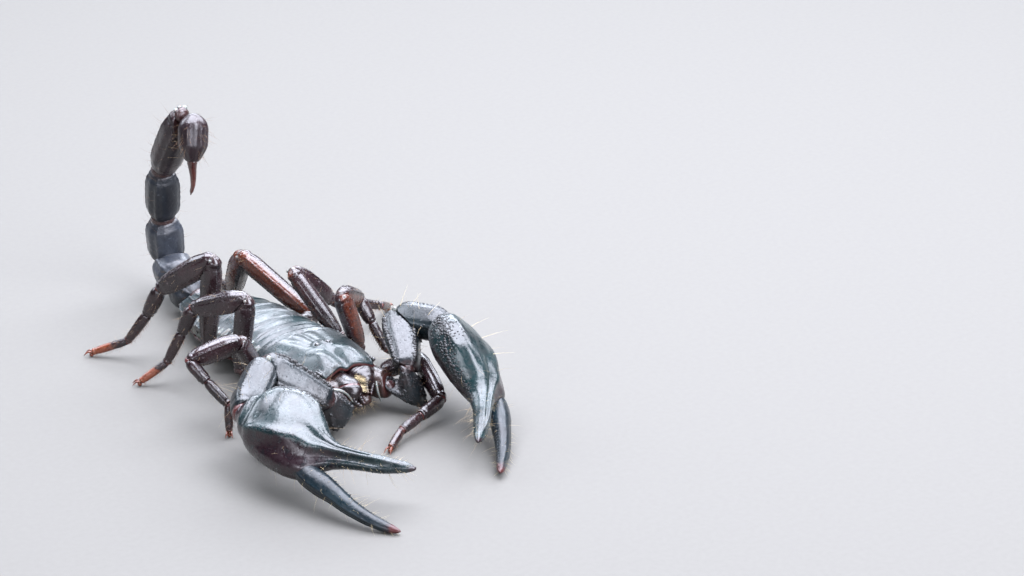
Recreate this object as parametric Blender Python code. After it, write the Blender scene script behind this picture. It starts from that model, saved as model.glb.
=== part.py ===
"""A forest scorpion standing with its tail raised, life size. Works in millimetres and stores metres. +Z is up, the animal faces -Y and its left side is +X."""

import math

import bmesh
import bpy
from mathutils import Matrix, Vector

for obj in list(bpy.data.objects):
    bpy.data.objects.remove(obj, do_unlink=True)

MM = 0.001
GAP = 0.30  # between neighbouring solids
SHIFT = Vector((0.035, 2.928, 0.0))  # centres the footprint on the origin

# How the trunk sits: front raised a little.
TRUNK_PITCH = math.radians(3.49)
TRUNK_PIVOT = Vector((0, 5.0, 4.5))
TRUNK_DROP = 0.65

# Carapace, in the trunk's own frame.
CARAPACE_LENGTH = 17.9
CARAPACE_HALF_WIDTHS = ((0.0, 9.0), (-4.0, 8.6), (-9.0, 7.8), (-14.0, 6.75), (-17.0, 6.0), (-18.2, 5.5))
CARAPACE_CROWN = ((0.0, 10.2), (-6.0, 10.15), (-10.5, 9.95), (-14.0, 9.5), (-16.4, 9.0), (-18.0, 8.55))
CARAPACE_RIM = 7.55
CARAPACE_BASE = 5.55
NOTCH_DEPTH = 0.75
EYE_TUBERCLE = (-9.3, 0.62, 1.55)  # y, height, radius
MEDIAN_EYE = (1.12, -9.4, 10.18)
MEDIAN_EYE_RADIUS = 0.52
LATERAL_EYE = (5.6, -16.75, 8.05)
LATERAL_EYE_RADIUS = 0.42

# Back plates: where each starts and ends, and the trunk's outline.
TERGITES = ((0.3, 2.7), (3.0, 6.2), (6.5, 10.7), (11.0, 15.6), (15.9, 20.8), (21.1, 26.3), (26.8, 33.5))
BACK_CROWN = ((0.0, 10.1), (12.0, 10.3), (22.0, 9.75), (28.0, 9.0), (34.0, 8.0))
BACK_HALF_WIDTHS = ((0.0, 8.9), (6.0, 9.0), (14.0, 9.0), (20.0, 8.7), (26.0, 7.7), (30.5, 6.4), (34.0, 4.3))
BACK_RIM = 7.0
BACK_BASE = 5.6

BELLY_LEVEL = 5.3
BELLY_FLOOR = ((2.0, 2.2), (4.5, 2.0), (8.0, 1.95), (20.0, 2.4), (30.0, 3.0), (34.0, 3.6))
BELLY_SPAN = (1.9, 33.4)
COXA_LEVEL = 5.25
COXA_SPAN = (-18.2, 1.5)
COXA_FLOOR = 1.9

# Legs: trunk joint, knee, far end of the patella, two joints of the foot, tip.
LEG_SCALE = {1: 0.95, 2: 0.95, 3: 1.0, 4: 1.05}
LEGS = {
    (1, "left"): ((9.2, -13.5, 3.9), (14.7, -17.7, 6.8), (11.8, -29.3, 3.6), (5.9, -31.2, 2.8), (0.8, -32.9, 2.1), (-3.3, -35.4, 0.9)),
    (2, "left"): ((10.9, -4.3, 5.0), (7.6, -3.9, 16.2), (14.4, 0.8, 12.0), (15.3, -1.8, 7.9), (16.5, -4.5, 3.2), (20.8, -4.1, 0.9)),
    (3, "left"): ((11.0, 2.5, 4.8), (7.2, 11.7, 15.5), (15.0, 11.4, 7.9), (20.4, 11.5, 5.9), (26.5, 12.4, 3.4), (30.7, 16.1, 0.9)),
    (4, "left"): ((11.6, 12.9, 5.0), (6.1, 28.2, 13.5), (8.3, 36.0, 3.1), (8.9, 42.2, 2.2), (9.4, 49.1, 1.6), (8.7, 56.0, 0.9)),
    (1, "right"): ((-9.0, -13.4, 4.0), (-14.0, -15.2, 8.8), (-22.3, -19.4, 6.6), (-22.5, -24.0, 4.0), (-21.3, -27.8, 2.4), (-19.8, -31.5, 0.9)),
    (2, "right"): ((-10.4, -4.6, 4.8), (-15.9, -6.8, 14.5), (-25.0, -4.6, 12.4), (-23.6, -8.1, 9.2), (-21.8, -12.0, 5.7), (-22.4, -12.9, 0.9)),
    (3, "right"): ((-10.8, 2.1, 4.3), (-9.7, 0.6, 18.4), (-16.2, 8.5, 15.6), (-17.6, 10.5, 10.5), (-19.9, 12.6, 4.4), (-24.2, 15.1, 0.9)),
    (4, "right"): ((-10.9, 12.9, 4.8), (-9.8, 11.7, 22.5), (-15.6, 21.3, 14.8), (-17.1, 23.8, 9.3), (-19.9, 27.0, 3.5), (-24.8, 31.8, 0.9)),
}
LEG_ROOT_CLEAR = 0.5
FOOT_FLAT = 0.5  # anything lower than this near a tip becomes the flat it stands on

# Tail: joints from the trunk to the last ring, then each ring's half width and half height.
TAIL_JOINTS = ((0.0, 34.1, 4.2), (0.2, 41.5, 5.4), (1.8, 49.0, 6.7), (0.7, 47.9, 16.2), (-0.2, 45.4, 27.0), (0.7, 38.4, 40.0))
TAIL_HALVES = ((3.9, 3.3), (3.7, 3.3), (3.3, 3.2), (3.0, 3.0), (2.85, 2.85))
TAIL_ENDS = (0.84, 0.82, 0.80, 0.78, 0.62)
VESICLE_START = (1.6, 35.5, 40.8)
VESICLE_END = (-0.2, 33.9, 31.8)
STING_TIP = (-0.15, 34.75, 25.1)
STING_CURVE = 0.4
VESICLE_HALVES = (2.95, 2.65)

# Pedipalps: coxa end, elbow side of the trochanter, elbow, wrist.
ARMS = {
    "right": ((-5.6, -20.4, 5.5), (-8.8, -24.5, 7.4), (-17.7, -17.9, 14.1), (-27.6, -27.0, 11.4)),
    "left": ((6.4, -20.9, 4.6), (8.7, -23.4, 8.4), (14.5, -12.2, 12.9), (17.9, -23.1, 13.9)),
}
HAND_AXES = {  # toward the fixed fingertip, toward the moving finger
    "right": ((0.494, -0.862, -0.114), (-0.761, -0.365, -0.536)),
    "left": ((-0.437, -0.874, -0.213), (0.621, -0.122, -0.774)),
}
HAND_ARCH = 1.4  # how far the palm's middle stands off the line from the wrist to the fixed fingertip
HAND_SWELL = 1.3  # and how far it swells toward the moving finger
FINGER_TURN = {"right": 0.0, "left": -0.33}  # radians, closing
TROCHANTER_SAG = {"right": (0.2, -1.1, -2.0), "left": (2.2, -0.9, -3.1)}
FEMUR_TWIST = {"right": -27.0, "left": 13.0}  # degrees, turning the flat upper face of the femur outward
# Distance from the wrist, outer edge, inner edge, half thickness.
HAND_OUTLINE = (
    (0.0, 2.2, -2.2, 2.2), (2.4, 5.0, -4.7, 3.3), (5.0, 6.6, -6.6, 4.0), (8.4, 7.6, -7.3, 4.4), (12.4, 8.1, -6.1, 4.1),
    (15.4, 8.1, -3.4, 3.5), (17.6, 6.4, -1.2, 2.7), (20.2, 4.25, -0.1, 2.0), (23.5, 3.4, 0.0, 1.6), (27.5, 2.9, -0.2, 1.35),
    (31.0, 1.9, -0.2, 0.95),
)
FIXED_TIP = 33.2
FINGER_PIVOT = (16.9, 7.0)
FINGER_SEAT = ((15.9, 8.2), (0.64, 0.77))  # a point on the hand's end face, and which way that faces
FINGER_PATH = ((16.9, 7.0, 1.9), (19.4, 7.9, 2.05), (22.4, 9.2, 1.75), (26.4, 11.1, 1.4), (30.4, 12.2, 1.1), (33.8, 12.5, 0.8))
FINGER_TIP = (35.7, 12.4)


def mix(a, b, t):
    return a + (b - a) * t


def read(table, x):
    """A smooth value from a short table of (place, value), whichever way its places run."""
    rows = sorted(table)
    if x <= rows[0][0]:
        return rows[0][1]
    for (x0, v0), (x1, v1) in zip(rows, rows[1:]):
        if x <= x1:
            t = (x - x0) / (x1 - x0)
            return mix(v0, v1, t * t * (3 - 2 * t) * 0.5 + t * 0.5)
    return rows[-1][1]


def ease(x, a, b):
    t = min(1.0, max(0.0, (x - a) / (b - a)))
    return t * t * (3 - 2 * t)


def bump(x, width):
    return math.exp(-((x / width) ** 2))


def trunk(p):
    """From the trunk's own frame to the world's."""
    c, s = math.cos(TRUNK_PITCH), math.sin(TRUNK_PITCH)
    q = Vector(p) - TRUNK_PIVOT
    return Vector((q.x, q.y * c + q.z * s, -q.y * s + q.z * c)) + TRUNK_PIVOT - Vector((0, 0, TRUNK_DROP))


def material(name, colour, rough):
    made = bpy.data.materials.new(name)
    made.use_nodes = True
    shader = made.node_tree.nodes["Principled BSDF"]
    shader.inputs["Base Color"].default_value = (*colour, 1)
    shader.inputs["Roughness"].default_value = rough
    return made


MODEL = bpy.data.collections.new("forest_scorpion")
CUTTERS = bpy.data.collections.new("cutters")
for group in (MODEL, CUTTERS):
    bpy.context.scene.collection.children.link(group)
FOOTPRINT = bpy.data.objects.new("footprint_centre", None)
FOOTPRINT.empty_display_size = 0.01
MODEL.objects.link(FOOTPRINT)


def finish(name, bm, colour, rough=0.35, helper=False):
    """Turns a bmesh in millimetres into the object of a node, with its origin at its own middle."""
    bm.normal_update()
    bmesh.ops.recalc_face_normals(bm, faces=bm.faces)
    for vert in bm.verts:
        vert.co = (vert.co + SHIFT) * MM
    middle = Vector([(min(v.co[i] for v in bm.verts) + max(v.co[i] for v in bm.verts)) / 2 for i in range(3)])
    for vert in bm.verts:
        vert.co -= middle
    mesh = bpy.data.meshes.new(name)
    bm.to_mesh(mesh)
    bm.free()
    obj = bpy.data.objects.new(name, mesh)
    obj.location = middle
    obj.parent = FOOTPRINT
    (CUTTERS if helper else MODEL).objects.link(obj)
    if helper:
        obj.hide_render = True
        obj.display_type = "WIRE"
    else:
        mesh.materials.append(material(name, colour, rough))
    return obj


def combine(obj, operation, other):
    modifier = obj.modifiers.new(operation.title() + " " + other.name, "BOOLEAN")
    modifier.operation = operation
    modifier.solver = "EXACT"
    modifier.object = other


def ball_mesh(around, rings, point):
    """A sphere's mesh with each vertex put at point(ring, angle). Rings 0 and the last are the two ends."""
    last = rings - 1
    bm = bmesh.new()
    bmesh.ops.create_uvsphere(bm, u_segments=around, v_segments=last, radius=1.0)
    for vert in bm.verts:
        ring = round(math.acos(max(-1.0, min(1.0, -vert.co.z))) / math.pi * last)
        vert.co = point(ring, math.atan2(vert.co.y, vert.co.x))
    return bm


def squircle(angle, power):
    c, s = math.cos(angle), math.sin(angle)
    return math.copysign(abs(c) ** (2 / power), c), math.copysign(abs(s) ** (2 / power), s)


class Ring:
    """A cross section: centre, the two directions across, the half sizes along them, and how boxy it is."""

    def __init__(self, centre, side, up, half_side, half_up, power=2.0):
        self.centre, self.side, self.up = Vector(centre), Vector(side), Vector(up)
        self.halves, self.power = (half_side, half_up), power

    def point(self, angle):
        c, s = squircle(angle, self.power)
        return self.centre + self.side * (c * self.halves[0]) + self.up * (s * self.halves[1])


def frame(direction, side_hint):
    direction = direction.normalized()
    side = (side_hint - direction * side_hint.dot(direction)).normalized()
    return direction, side, side.cross(direction)


def rod(start, end, side_hint, sizes, power=2.4, overrun=(0.35, 0.35), caps=2, bow=0.0, middle=2, sag=(0, 0, 0)):
    """The rings of one limb segment: rounded ends that run a little past its two joints. sizes is a table of (part of the length, half side, half up)."""
    start, end = Vector(start), Vector(end)
    direction, side, up = frame(end - start, side_hint)
    length = (end - start).length
    halves = lambda t: (read([(s[0], s[1]) for s in sizes], t), read([(s[0], s[2]) for s in sizes], t))
    r0, r1 = max(halves(0)), max(halves(1))
    low, high = -overrun[0] * r0, length + overrun[1] * r1
    places = []
    for i in range(1, caps + 1):
        a = math.pi / 2 * i / (caps + 0.15)
        places.append((low + r0 * (1 - math.cos(a)), math.sin(a)))
    inner = [mix(low + r0, high - r1, (i + 1) / (middle + 1)) for i in range(middle)]
    places += [(x, 1.0) for x in inner]
    for i in range(caps, 0, -1):
        a = math.pi / 2 * i / (caps + 0.15)
        places.append((high - r1 * (1 - math.cos(a)), math.sin(a)))
    rings = [start + direction * low]
    for x, scale in places:
        t = x / length
        a, b = halves(min(1.0, max(0.0, t)))
        rings.append(Ring(start + direction * x + (up * bow + Vector(sag)) * math.sin(math.pi * min(1.0, max(0.0, t))), side, up, a * scale, b * scale, power))
    rings.append(start + direction * high)
    return rings


class Cut:
    """Keeps a solid on its own side of a plane by sliding its points along the limb."""

    def __init__(self, point, normal, slide):
        self.point, self.normal = Vector(point), Vector(normal).normalized()
        self.slide = Vector(slide).normalized()

    def __call__(self, p):
        depth = (p - self.point).dot(self.normal) - GAP / 2
        if depth < 0:
            p = p - self.slide * (depth / self.slide.dot(self.normal))
        return p


def joint_cut(before, joint, after, first):
    """The plane that halves a bend, seen from the segment before it or the one after."""
    before, joint, after = Vector(before), Vector(joint), Vector(after)
    normal = (before - joint).normalized() - (after - joint).normalized()
    if first:
        return Cut(joint, normal, before - joint)
    return Cut(joint, -normal, after - joint)


def solid(name, around, rings, colour, cuts=(), rough=0.35, stands=False, turn=0.0, helper=False):
    def point(k, angle):
        p = rings[k].point(angle + turn) if isinstance(rings[k], Ring) else Vector(rings[k])
        for cut in cuts:
            p = cut(p)
        if stands and p.z < FOOT_FLAT:
            p.z = 0.0
        return p

    return finish(name, ball_mesh(around, len(rings), point), colour, rough, helper)


def slab(name, across, along, place, level, colour, rough=0.3, helper=False):
    """A curved sheet over a flat level face. place(u, v) gives the sheet for u in -1..1 and v in 0..1."""
    bm = bmesh.new()
    bmesh.ops.create_grid(bm, x_segments=across, y_segments=along, size=1.0)
    top = list(bm.verts)
    for vert in top:
        vert.co = place(vert.co.x, (vert.co.y + 1) / 2)
    rim = [edge for edge in bm.edges if edge.is_boundary]
    made = bmesh.ops.extrude_edge_only(bm, edges=rim)["geom"]
    for item in made:
        if isinstance(item, bmesh.types.BMVert):
            item.co.z = level
    bmesh.ops.holes_fill(bm, edges=[edge for edge in bm.edges if edge.is_boundary], sides=0)
    for vert in bm.verts:
        vert.co = trunk(vert.co)
    return finish(name, bm, colour, rough, helper)


def block(name, low, high):
    """A box in the trunk's frame, for cutting."""
    low, high = Vector(low), Vector(high)
    bm = bmesh.new()
    bmesh.ops.create_cube(bm, size=1.0)
    for vert in bm.verts:
        vert.co = trunk([mix(low[i], high[i], vert.co[i] + 0.5) for i in range(3)])
    return finish(name, bm, None, helper=True)


def globe(name, centre, radii, colour=(0, 0, 0), helper=False, around=10, rings=7):
    centre = Vector(centre)

    def point(k, angle):
        a = math.pi * k / (rings - 1)
        return trunk(centre + Vector((radii[0] * math.sin(a) * math.cos(angle), radii[1] * math.sin(a) * math.sin(angle), -radii[2] * math.cos(a))))

    return finish(name, ball_mesh(around, rings, point), colour, 0.08, helper)


SHELL = (0.018, 0.035, 0.036)
UNDERSIDE = (0.055, 0.028, 0.020)
LIMB = (0.070, 0.028, 0.020)
CLAW = (0.028, 0.022, 0.026)
TELSON = (0.085, 0.022, 0.012)
SIDES = {"left": 1, "right": -1}


def carapace_place(u, v):
    width_y = -CARAPACE_LENGTH * v
    y = width_y + NOTCH_DEPTH * bump(u, 0.33) * ease(v, 0.75, 1.0) - 0.25 * (1 - u * u) * (1 - v)
    y += 0.9 * ease(v, 0.7, 1.0) * ease(abs(u), 0.72, 1.0)
    width = read(CARAPACE_HALF_WIDTHS, width_y)
    x = width * math.sin(u * math.pi / 2 * 0.9) / math.sin(math.pi / 2 * 0.9)
    s = x / width
    crown = read(CARAPACE_CROWN, width_y)
    z = CARAPACE_RIM + (crown - CARAPACE_RIM) * (1 - abs(s) ** 2.6)
    front = ease(-y, 9.5, 13.0)
    z += 0.45 * bump(abs(x) - 3.0, 1.9) * front * (1 - ease(-y, 16.5, 18.5) * 0.6)
    z -= 0.55 * bump(x, 0.9) * ease(-y, 10.6, 12.5)
    z -= 0.25 * bump(x, 0.6) * (1 - ease(-y, 5.0, 7.5))
    ty, height, radius = EYE_TUBERCLE
    z += height * bump(math.hypot(x * 0.85, y - ty), radius)
    return Vector((x, y, z))


carapace = slab("carapace", 14, 13, carapace_place, CARAPACE_BASE, SHELL)
combine(carapace, "DIFFERENCE", block("chelicera_recess", (-4.75, -24.0, 3.35), (4.75, -13.3, 7.35)))

for side, sign in SIDES.items():
    x, y, z = MEDIAN_EYE
    globe("median_eye_" + side, (sign * x, y, z), [MEDIAN_EYE_RADIUS] * 3, (0.004, 0.004, 0.005))
    combine(carapace, "DIFFERENCE", globe("median_pit_" + side, (sign * x, y, z), [MEDIAN_EYE_RADIUS + GAP] * 3, helper=True))
    x, y, z = LATERAL_EYE
    long = (LATERAL_EYE_RADIUS, LATERAL_EYE_RADIUS * 2.1, LATERAL_EYE_RADIUS)
    globe("lateral_eyes_" + side, (sign * x, y, z), long, (0.004, 0.004, 0.005))
    combine(carapace, "DIFFERENCE", globe("lateral_pit_" + side, (sign * x, y, z), [r + GAP for r in long], helper=True))

for number, (near, far) in enumerate(TERGITES, 1):

    def tergite_place(u, v, near=near, far=far, last=number == 7):
        y = mix(near, far, v)
        y += 0.35 * (u * u - 0.35) * (1 if not last else 0.2)
        width = read(BACK_HALF_WIDTHS, y) - (0.25 if v < 0.5 and abs(u) == 1 else 0.0)
        x = width * math.sin(u * math.pi / 2 * 0.9) / math.sin(math.pi / 2 * 0.9)
        crown = read(BACK_CROWN, y) - 0.30 * (1 - v)
        z = BACK_RIM + (crown - BACK_RIM) * (1 - abs(x / width) ** 2.5)
        return Vector((x, y, z))

    slab(f"tergite_{number}", 9, 3, tergite_place, BACK_BASE, SHELL)


def belly_place(u, v):
    y = mix(*BELLY_SPAN, v)
    width = read(BACK_HALF_WIDTHS, y) - 0.35
    x = width * math.sin(u * math.pi / 2 * 0.88) / math.sin(math.pi / 2 * 0.88)
    low = read(BELLY_FLOOR, y)
    return Vector((x, y, low + 1.7 * abs(x / width) ** 3))


slab("belly", 9, 9, belly_place, BELLY_LEVEL, UNDERSIDE)


def coxa_place(u, v):
    y = mix(*COXA_SPAN, v)
    width = read(((-18.2, 5.0), (-14.0, 6.9), (-9.0, 8.0), (1.5, 8.6)), y)
    x = width * u
    return Vector((x, y, COXA_FLOOR + 0.9 * abs(u) ** 3 + 0.8 * ease(-y, 13, 18)))


coxosternum = slab("coxosternum", 8, 7, coxa_place, COXA_LEVEL, UNDERSIDE)
for side, sign in SIDES.items():
    coxa_end, knuckle = ARMS[side][0], ARMS[side][1]
    start = (sign * 3.9, -14.5, 5.0)
    rings = rod(start, coxa_end, Vector((1, 0, 0)), ((0, 2.2, 2.1), (0.6, 2.5, 2.6), (1, 2.4, 2.6)), overrun=(0.4, 0.3), middle=1)
    coxa = solid("pedipalp_coxa_" + side, 10, rings, None, [joint_cut(start, coxa_end, knuckle, True)], helper=True)
    combine(coxosternum, "UNION", coxa)
for side, sign in SIDES.items():  # the lobes of the first coxae, under the jaws
    rings = rod(trunk((sign * 1.6, -14.0, 2.7)), trunk((sign * 1.5, -20.6, 2.2)), Vector((1, 0, 0)), ((0, 1.4, 1.2), (0.6, 1.4, 1.15), (1, 1.1, 0.95)), overrun=(0.0, 0.4), middle=1)
    combine(coxosternum, "UNION", solid("coxal_lobe_" + side, 8, rings, None, helper=True, turn=math.pi / 8))
combine(coxosternum, "DIFFERENCE", block("mouth_recess", (-4.65, -26.0, 3.35), (4.65, -13.0, 9.0)))
combine(coxosternum, "DIFFERENCE", block("head_recess", (-9.5, -18.5, COXA_LEVEL), (9.5, 1.8, 12.0)))

for side, sign in SIDES.items():
    rings = rod(trunk((sign * 2.3, -13.7, 5.4)), trunk((sign * 2.35, -20.4, 5.2)), Vector((1, 0, 0)),
                ((0, 1.9, 1.55), (0.45, 2.0, 1.7), (0.8, 1.75, 1.5), (1, 1.2, 1.1)), power=2.6, overrun=(0.0, 0.6), middle=2)
    solid("chelicera_" + side, 10, rings, (0.03, 0.012, 0.008), rough=0.15)
    comb = rod(trunk((sign * 1.6, 4.4, 1.25)), trunk((sign * 7.0, 6.6, 1.35)), Vector((0, 0, 1)), ((0, 0.29, 0.9), (0.4, 0.29, 1.35), (1, 0.27, 0.7)),
               overrun=(0.2, 0.2), middle=2, power=3)
    solid("pecten_" + side, 8, comb, (0.30, 0.18, 0.10))

ACROSS = Vector((1, 0, 0))
joints = [Vector(j) for j in TAIL_JOINTS] + [Vector(VESICLE_END)]
vesicle_start = Vector(VESICLE_START)
for i, (half_side, half_up) in enumerate(TAIL_HALVES):
    end = TAIL_ENDS[i]
    taper = ((0, 0.78 * half_side, 0.80 * half_up), (0.3, 0.99 * half_side, 0.98 * half_up), (0.65, (1.0 if i < 4 else 0.93) * half_side, half_up), (1, end * half_side, (end + 0.04) * half_up))
    rings = rod(joints[i], joints[i + 1], ACROSS, taper, power=2.7, overrun=(0.12 if i else -0.05, 0.22), middle=3)
    cuts = [joint_cut(joints[i], joints[i + 1], joints[i + 2], True)]
    if i:
        cuts.append(joint_cut(joints[i - 1], joints[i], joints[i + 1], False))
    solid(f"tail_segment_{i + 1}", 12, rings, TELSON if i == 4 else CLAW, cuts, turn=math.pi / 12)

wide, tall = VESICLE_HALVES
rings = rod(vesicle_start, VESICLE_END, ACROSS, ((0, 0.62 * wide, 0.62 * tall), (0.3, wide, 0.95 * tall), (0.6, 0.97 * wide, tall), (0.85, 0.62 * wide, 0.66 * tall), (1, 0.35 * wide, 0.38 * tall)),
            power=2.1, overrun=(0.1, -0.1), middle=4)
solid("telson_vesicle", 12, rings, TELSON, [joint_cut(joints[4], joints[5], joints[6], False), Cut(VESICLE_END, vesicle_start - Vector(VESICLE_END), vesicle_start - Vector(VESICLE_END))])
barb, root = Vector(STING_TIP), Vector(VESICLE_END)
heading = (root - vesicle_start).normalized()
rings = [root + heading * GAP * 0.5]
for t in (0.02, 0.25, 0.5, 0.75, 0.94):
    bend = root.lerp(barb, t) + Vector((0, -STING_CURVE * math.sin(math.pi * t), 0)) + heading * GAP * 0.5
    tangent = (barb - root).normalized() + Vector((0, -0.5 * STING_CURVE * math.cos(math.pi * t), 0))
    direction, side, up = frame(tangent, ACROSS)
    radius = mix(0.92, 0.27, t ** 0.8)
    rings.append(Ring(bend, side, up, radius, radius))
rings.append(barb)
solid("sting", 8, rings, (0.05, 0.008, 0.004), [Cut(root, heading, heading)], rough=0.15)

for side, sign in SIDES.items():
    coxa_end, knuckle, elbow, wrist = [Vector(p) for p in ARMS[side]]
    forward, outer = [Vector(axis).normalized() for axis in HAND_AXES[side]]
    outer = (outer - forward * outer.dot(forward)).normalized()
    dorsal = forward.cross(outer) * sign
    fold = (knuckle - elbow).cross(wrist - elbow).normalized()
    fold = fold if fold.z > 0 else -fold
    coxa_root = Vector((sign * 3.9, -14.5, 5.0))
    hand_far = wrist + forward * 10
    name = "pedipalp_" + side + "_"

    rings = rod(coxa_end, knuckle, fold.cross(knuckle - coxa_end), ((0, 2.5, 2.5), (0.5, 3.0, 3.0), (1, 2.3, 2.4)), overrun=(0.2, 0.35), middle=1, sag=TROCHANTER_SAG[side])
    solid(name + "trochanter", 10, rings, CLAW, [joint_cut(coxa_root, coxa_end, knuckle, False), joint_cut(coxa_end, knuckle, elbow, True)])

    face = Matrix.Rotation(math.radians(FEMUR_TWIST[side]), 3, elbow - knuckle) @ fold
    rings = rod(knuckle, elbow, face.cross(elbow - knuckle), ((0, 2.2, 2.1), (0.3, 2.7, 2.45), (0.75, 3.35, 2.6), (1, 3.1, 2.4)), power=3.2, overrun=(0.4, 0.45), middle=2)
    solid(name + "femur", 10, rings, CLAW, [joint_cut(coxa_end, knuckle, elbow, False), joint_cut(knuckle, elbow, wrist, True)], turn=math.pi / 10)

    rings = rod(elbow, wrist, fold.cross(wrist - elbow), ((0, 2.3, 2.3), (0.3, 3.0, 2.7), (0.7, 3.0, 2.8), (1, 2.3, 2.4)), power=3.0, overrun=(0.45, 0.35), middle=2)
    solid(name + "patella", 10, rings, CLAW, [joint_cut(knuckle, elbow, wrist, False), joint_cut(elbow, wrist, hand_far, True)], turn=math.pi / 10)

    def palm(along, out):
        arch = math.sin(math.pi * min(1.0, max(0.0, along / FIXED_TIP)))
        return wrist + forward * along + outer * (out + HAND_SWELL * arch) + dorsal * (HAND_ARCH * arch)

    rings = [wrist - forward * 1.3]
    for along, out, into, thick in HAND_OUTLINE:
        rings.append(Ring(palm(along, (out + into) / 2), outer, dorsal, (out - into) / 2, thick, 2.3))
    rings.append(palm(FIXED_TIP, 0.3))
    (seat_along, seat_out), (nose, flank) = FINGER_SEAT
    seat = palm(seat_along, seat_out)
    facing = forward * nose + outer * flank
    solid(name + "hand", 14, rings, CLAW, [joint_cut(elbow, wrist, hand_far, False)])

    def finger(along, out):
        c, s = math.cos(FINGER_TURN[side]), math.sin(FINGER_TURN[side])
        a, o = along - FINGER_PIVOT[0], out - FINGER_PIVOT[1]
        a, o = FINGER_PIVOT[0] + a * c - o * s, FINGER_PIVOT[1] + a * s + o * c
        fade = 1 - ease(along, 18.0, 34.0)
        return palm(a, o) - outer * (HAND_SWELL * (1 - fade) * math.sin(math.pi * min(1.0, a / FIXED_TIP)))

    rings = [finger(16.3, 6.7)]
    path = [finger(a, o) for a, o, _ in FINGER_PATH] + [finger(*FINGER_TIP)]
    for k, (_, _, half) in enumerate(FINGER_PATH):
        direction = (path[k + 1] - path[k - 1]) if k else (path[1] - path[0])
        direction, across, _ = frame(direction, outer)
        rings.append(Ring(path[k], across, dorsal, half, half * 0.92, 2.2))
    rings.append(path[-1])
    solid(name + "moving_finger", 10, rings, (0.06, 0.02, 0.012), [Cut(seat, facing, forward)], stands=True)

for (number, side), joints in LEGS.items():
    k = LEG_SCALE[number]
    hip, knee, shin, ankle, toe, tip = [Vector(j) for j in joints]
    outward = Vector((tip.x - hip.x, tip.y - hip.y, 0)).normalized()
    hinge = outward.cross(Vector((0, 0, 1)))
    name = f"leg_{number}_{side}_"
    sign = SIDES[side]

    rings = rod(hip, knee, hinge, ((0, 1.0 * k, 1.05 * k), (0.35, 1.35 * k, 1.75 * k), (0.8, 1.4 * k, 1.85 * k), (1, 1.3 * k, 1.55 * k)), overrun=(0.0, 0.5), middle=2)
    solid(name + "femur", 8, rings, LIMB, [joint_cut(hip, knee, shin, True)], turn=math.pi / 8)

    rings = rod(knee, shin, hinge, ((0, 1.25 * k, 1.45 * k), (0.3, 1.45 * k, 2.1 * k), (0.75, 1.35 * k, 1.9 * k), (1, 1.05 * k, 1.25 * k)), overrun=(0.5, 0.45), middle=2)
    solid(name + "patella", 8, rings, LIMB, [joint_cut(hip, knee, shin, False), joint_cut(knee, shin, ankle, True)], turn=math.pi / 8)

    chain = [shin, ankle, toe, tip]
    heads = [(b - a).normalized() for a, b in zip(chain, chain[1:])]
    rings = [shin - heads[0] * 0.5 * k]
    plan = ((0, 0.02, 0.9, 1.0), (0, 0.2, 1.15, 1.35), (0, 0.6, 1.15, 1.35), (0, 1.0, 0.95, 1.0), (1, 0.5, 0.95, 0.95), (1, 1.0, 0.78, 0.78), (2, 0.4, 0.72, 0.72), (2, 0.8, 0.66, 0.66), (2, 1.0, 0.6, 0.62))
    for piece, t, a, b in plan:
        direction = heads[piece]
        if t == 1.0 and piece < 2:
            direction = heads[piece] + heads[piece + 1]
        direction, across, up = frame(direction, hinge)
        size = k if piece < 2 else 1.0
        rings.append(Ring(chain[piece].lerp(chain[piece + 1], t), across, up, a * size, b * size, 2.2))
    rings.append(tip + heads[2] * 0.45)
    solid(name + "foot", 8, rings, (0.14, 0.05, 0.02), [joint_cut(knee, shin, ankle, False)], stands=True, turn=math.pi / 8)
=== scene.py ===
import math

import bpy
import numpy as np
from mathutils import Matrix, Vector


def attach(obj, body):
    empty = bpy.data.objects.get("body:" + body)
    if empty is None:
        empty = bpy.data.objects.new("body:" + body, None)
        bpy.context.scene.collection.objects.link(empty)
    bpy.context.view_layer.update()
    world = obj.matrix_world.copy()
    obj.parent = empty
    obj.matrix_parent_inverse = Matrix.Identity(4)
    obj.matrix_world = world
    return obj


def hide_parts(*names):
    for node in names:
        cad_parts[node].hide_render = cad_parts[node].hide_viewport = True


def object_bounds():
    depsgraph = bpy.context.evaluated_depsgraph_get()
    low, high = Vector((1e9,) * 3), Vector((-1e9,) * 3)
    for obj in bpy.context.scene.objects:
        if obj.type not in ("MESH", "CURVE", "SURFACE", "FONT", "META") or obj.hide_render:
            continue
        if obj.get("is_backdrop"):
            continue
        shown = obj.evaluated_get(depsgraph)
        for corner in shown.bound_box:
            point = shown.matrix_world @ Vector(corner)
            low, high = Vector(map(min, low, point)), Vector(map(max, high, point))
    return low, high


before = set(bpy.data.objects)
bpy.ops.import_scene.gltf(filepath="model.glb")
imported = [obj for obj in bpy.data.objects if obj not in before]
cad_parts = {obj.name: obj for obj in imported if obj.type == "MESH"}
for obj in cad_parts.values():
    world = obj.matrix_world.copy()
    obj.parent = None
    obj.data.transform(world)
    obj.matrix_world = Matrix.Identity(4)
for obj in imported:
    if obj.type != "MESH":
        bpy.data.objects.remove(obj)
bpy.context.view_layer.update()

# A forest scorpion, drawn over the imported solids. Everything below works in millimetres in the solids' own frame before SHIFT.
SHIFT = np.array([0.035, 2.928, 0.0])
rng = np.random.default_rng(7)
V3 = lambda *p: np.array(p, float)

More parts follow.
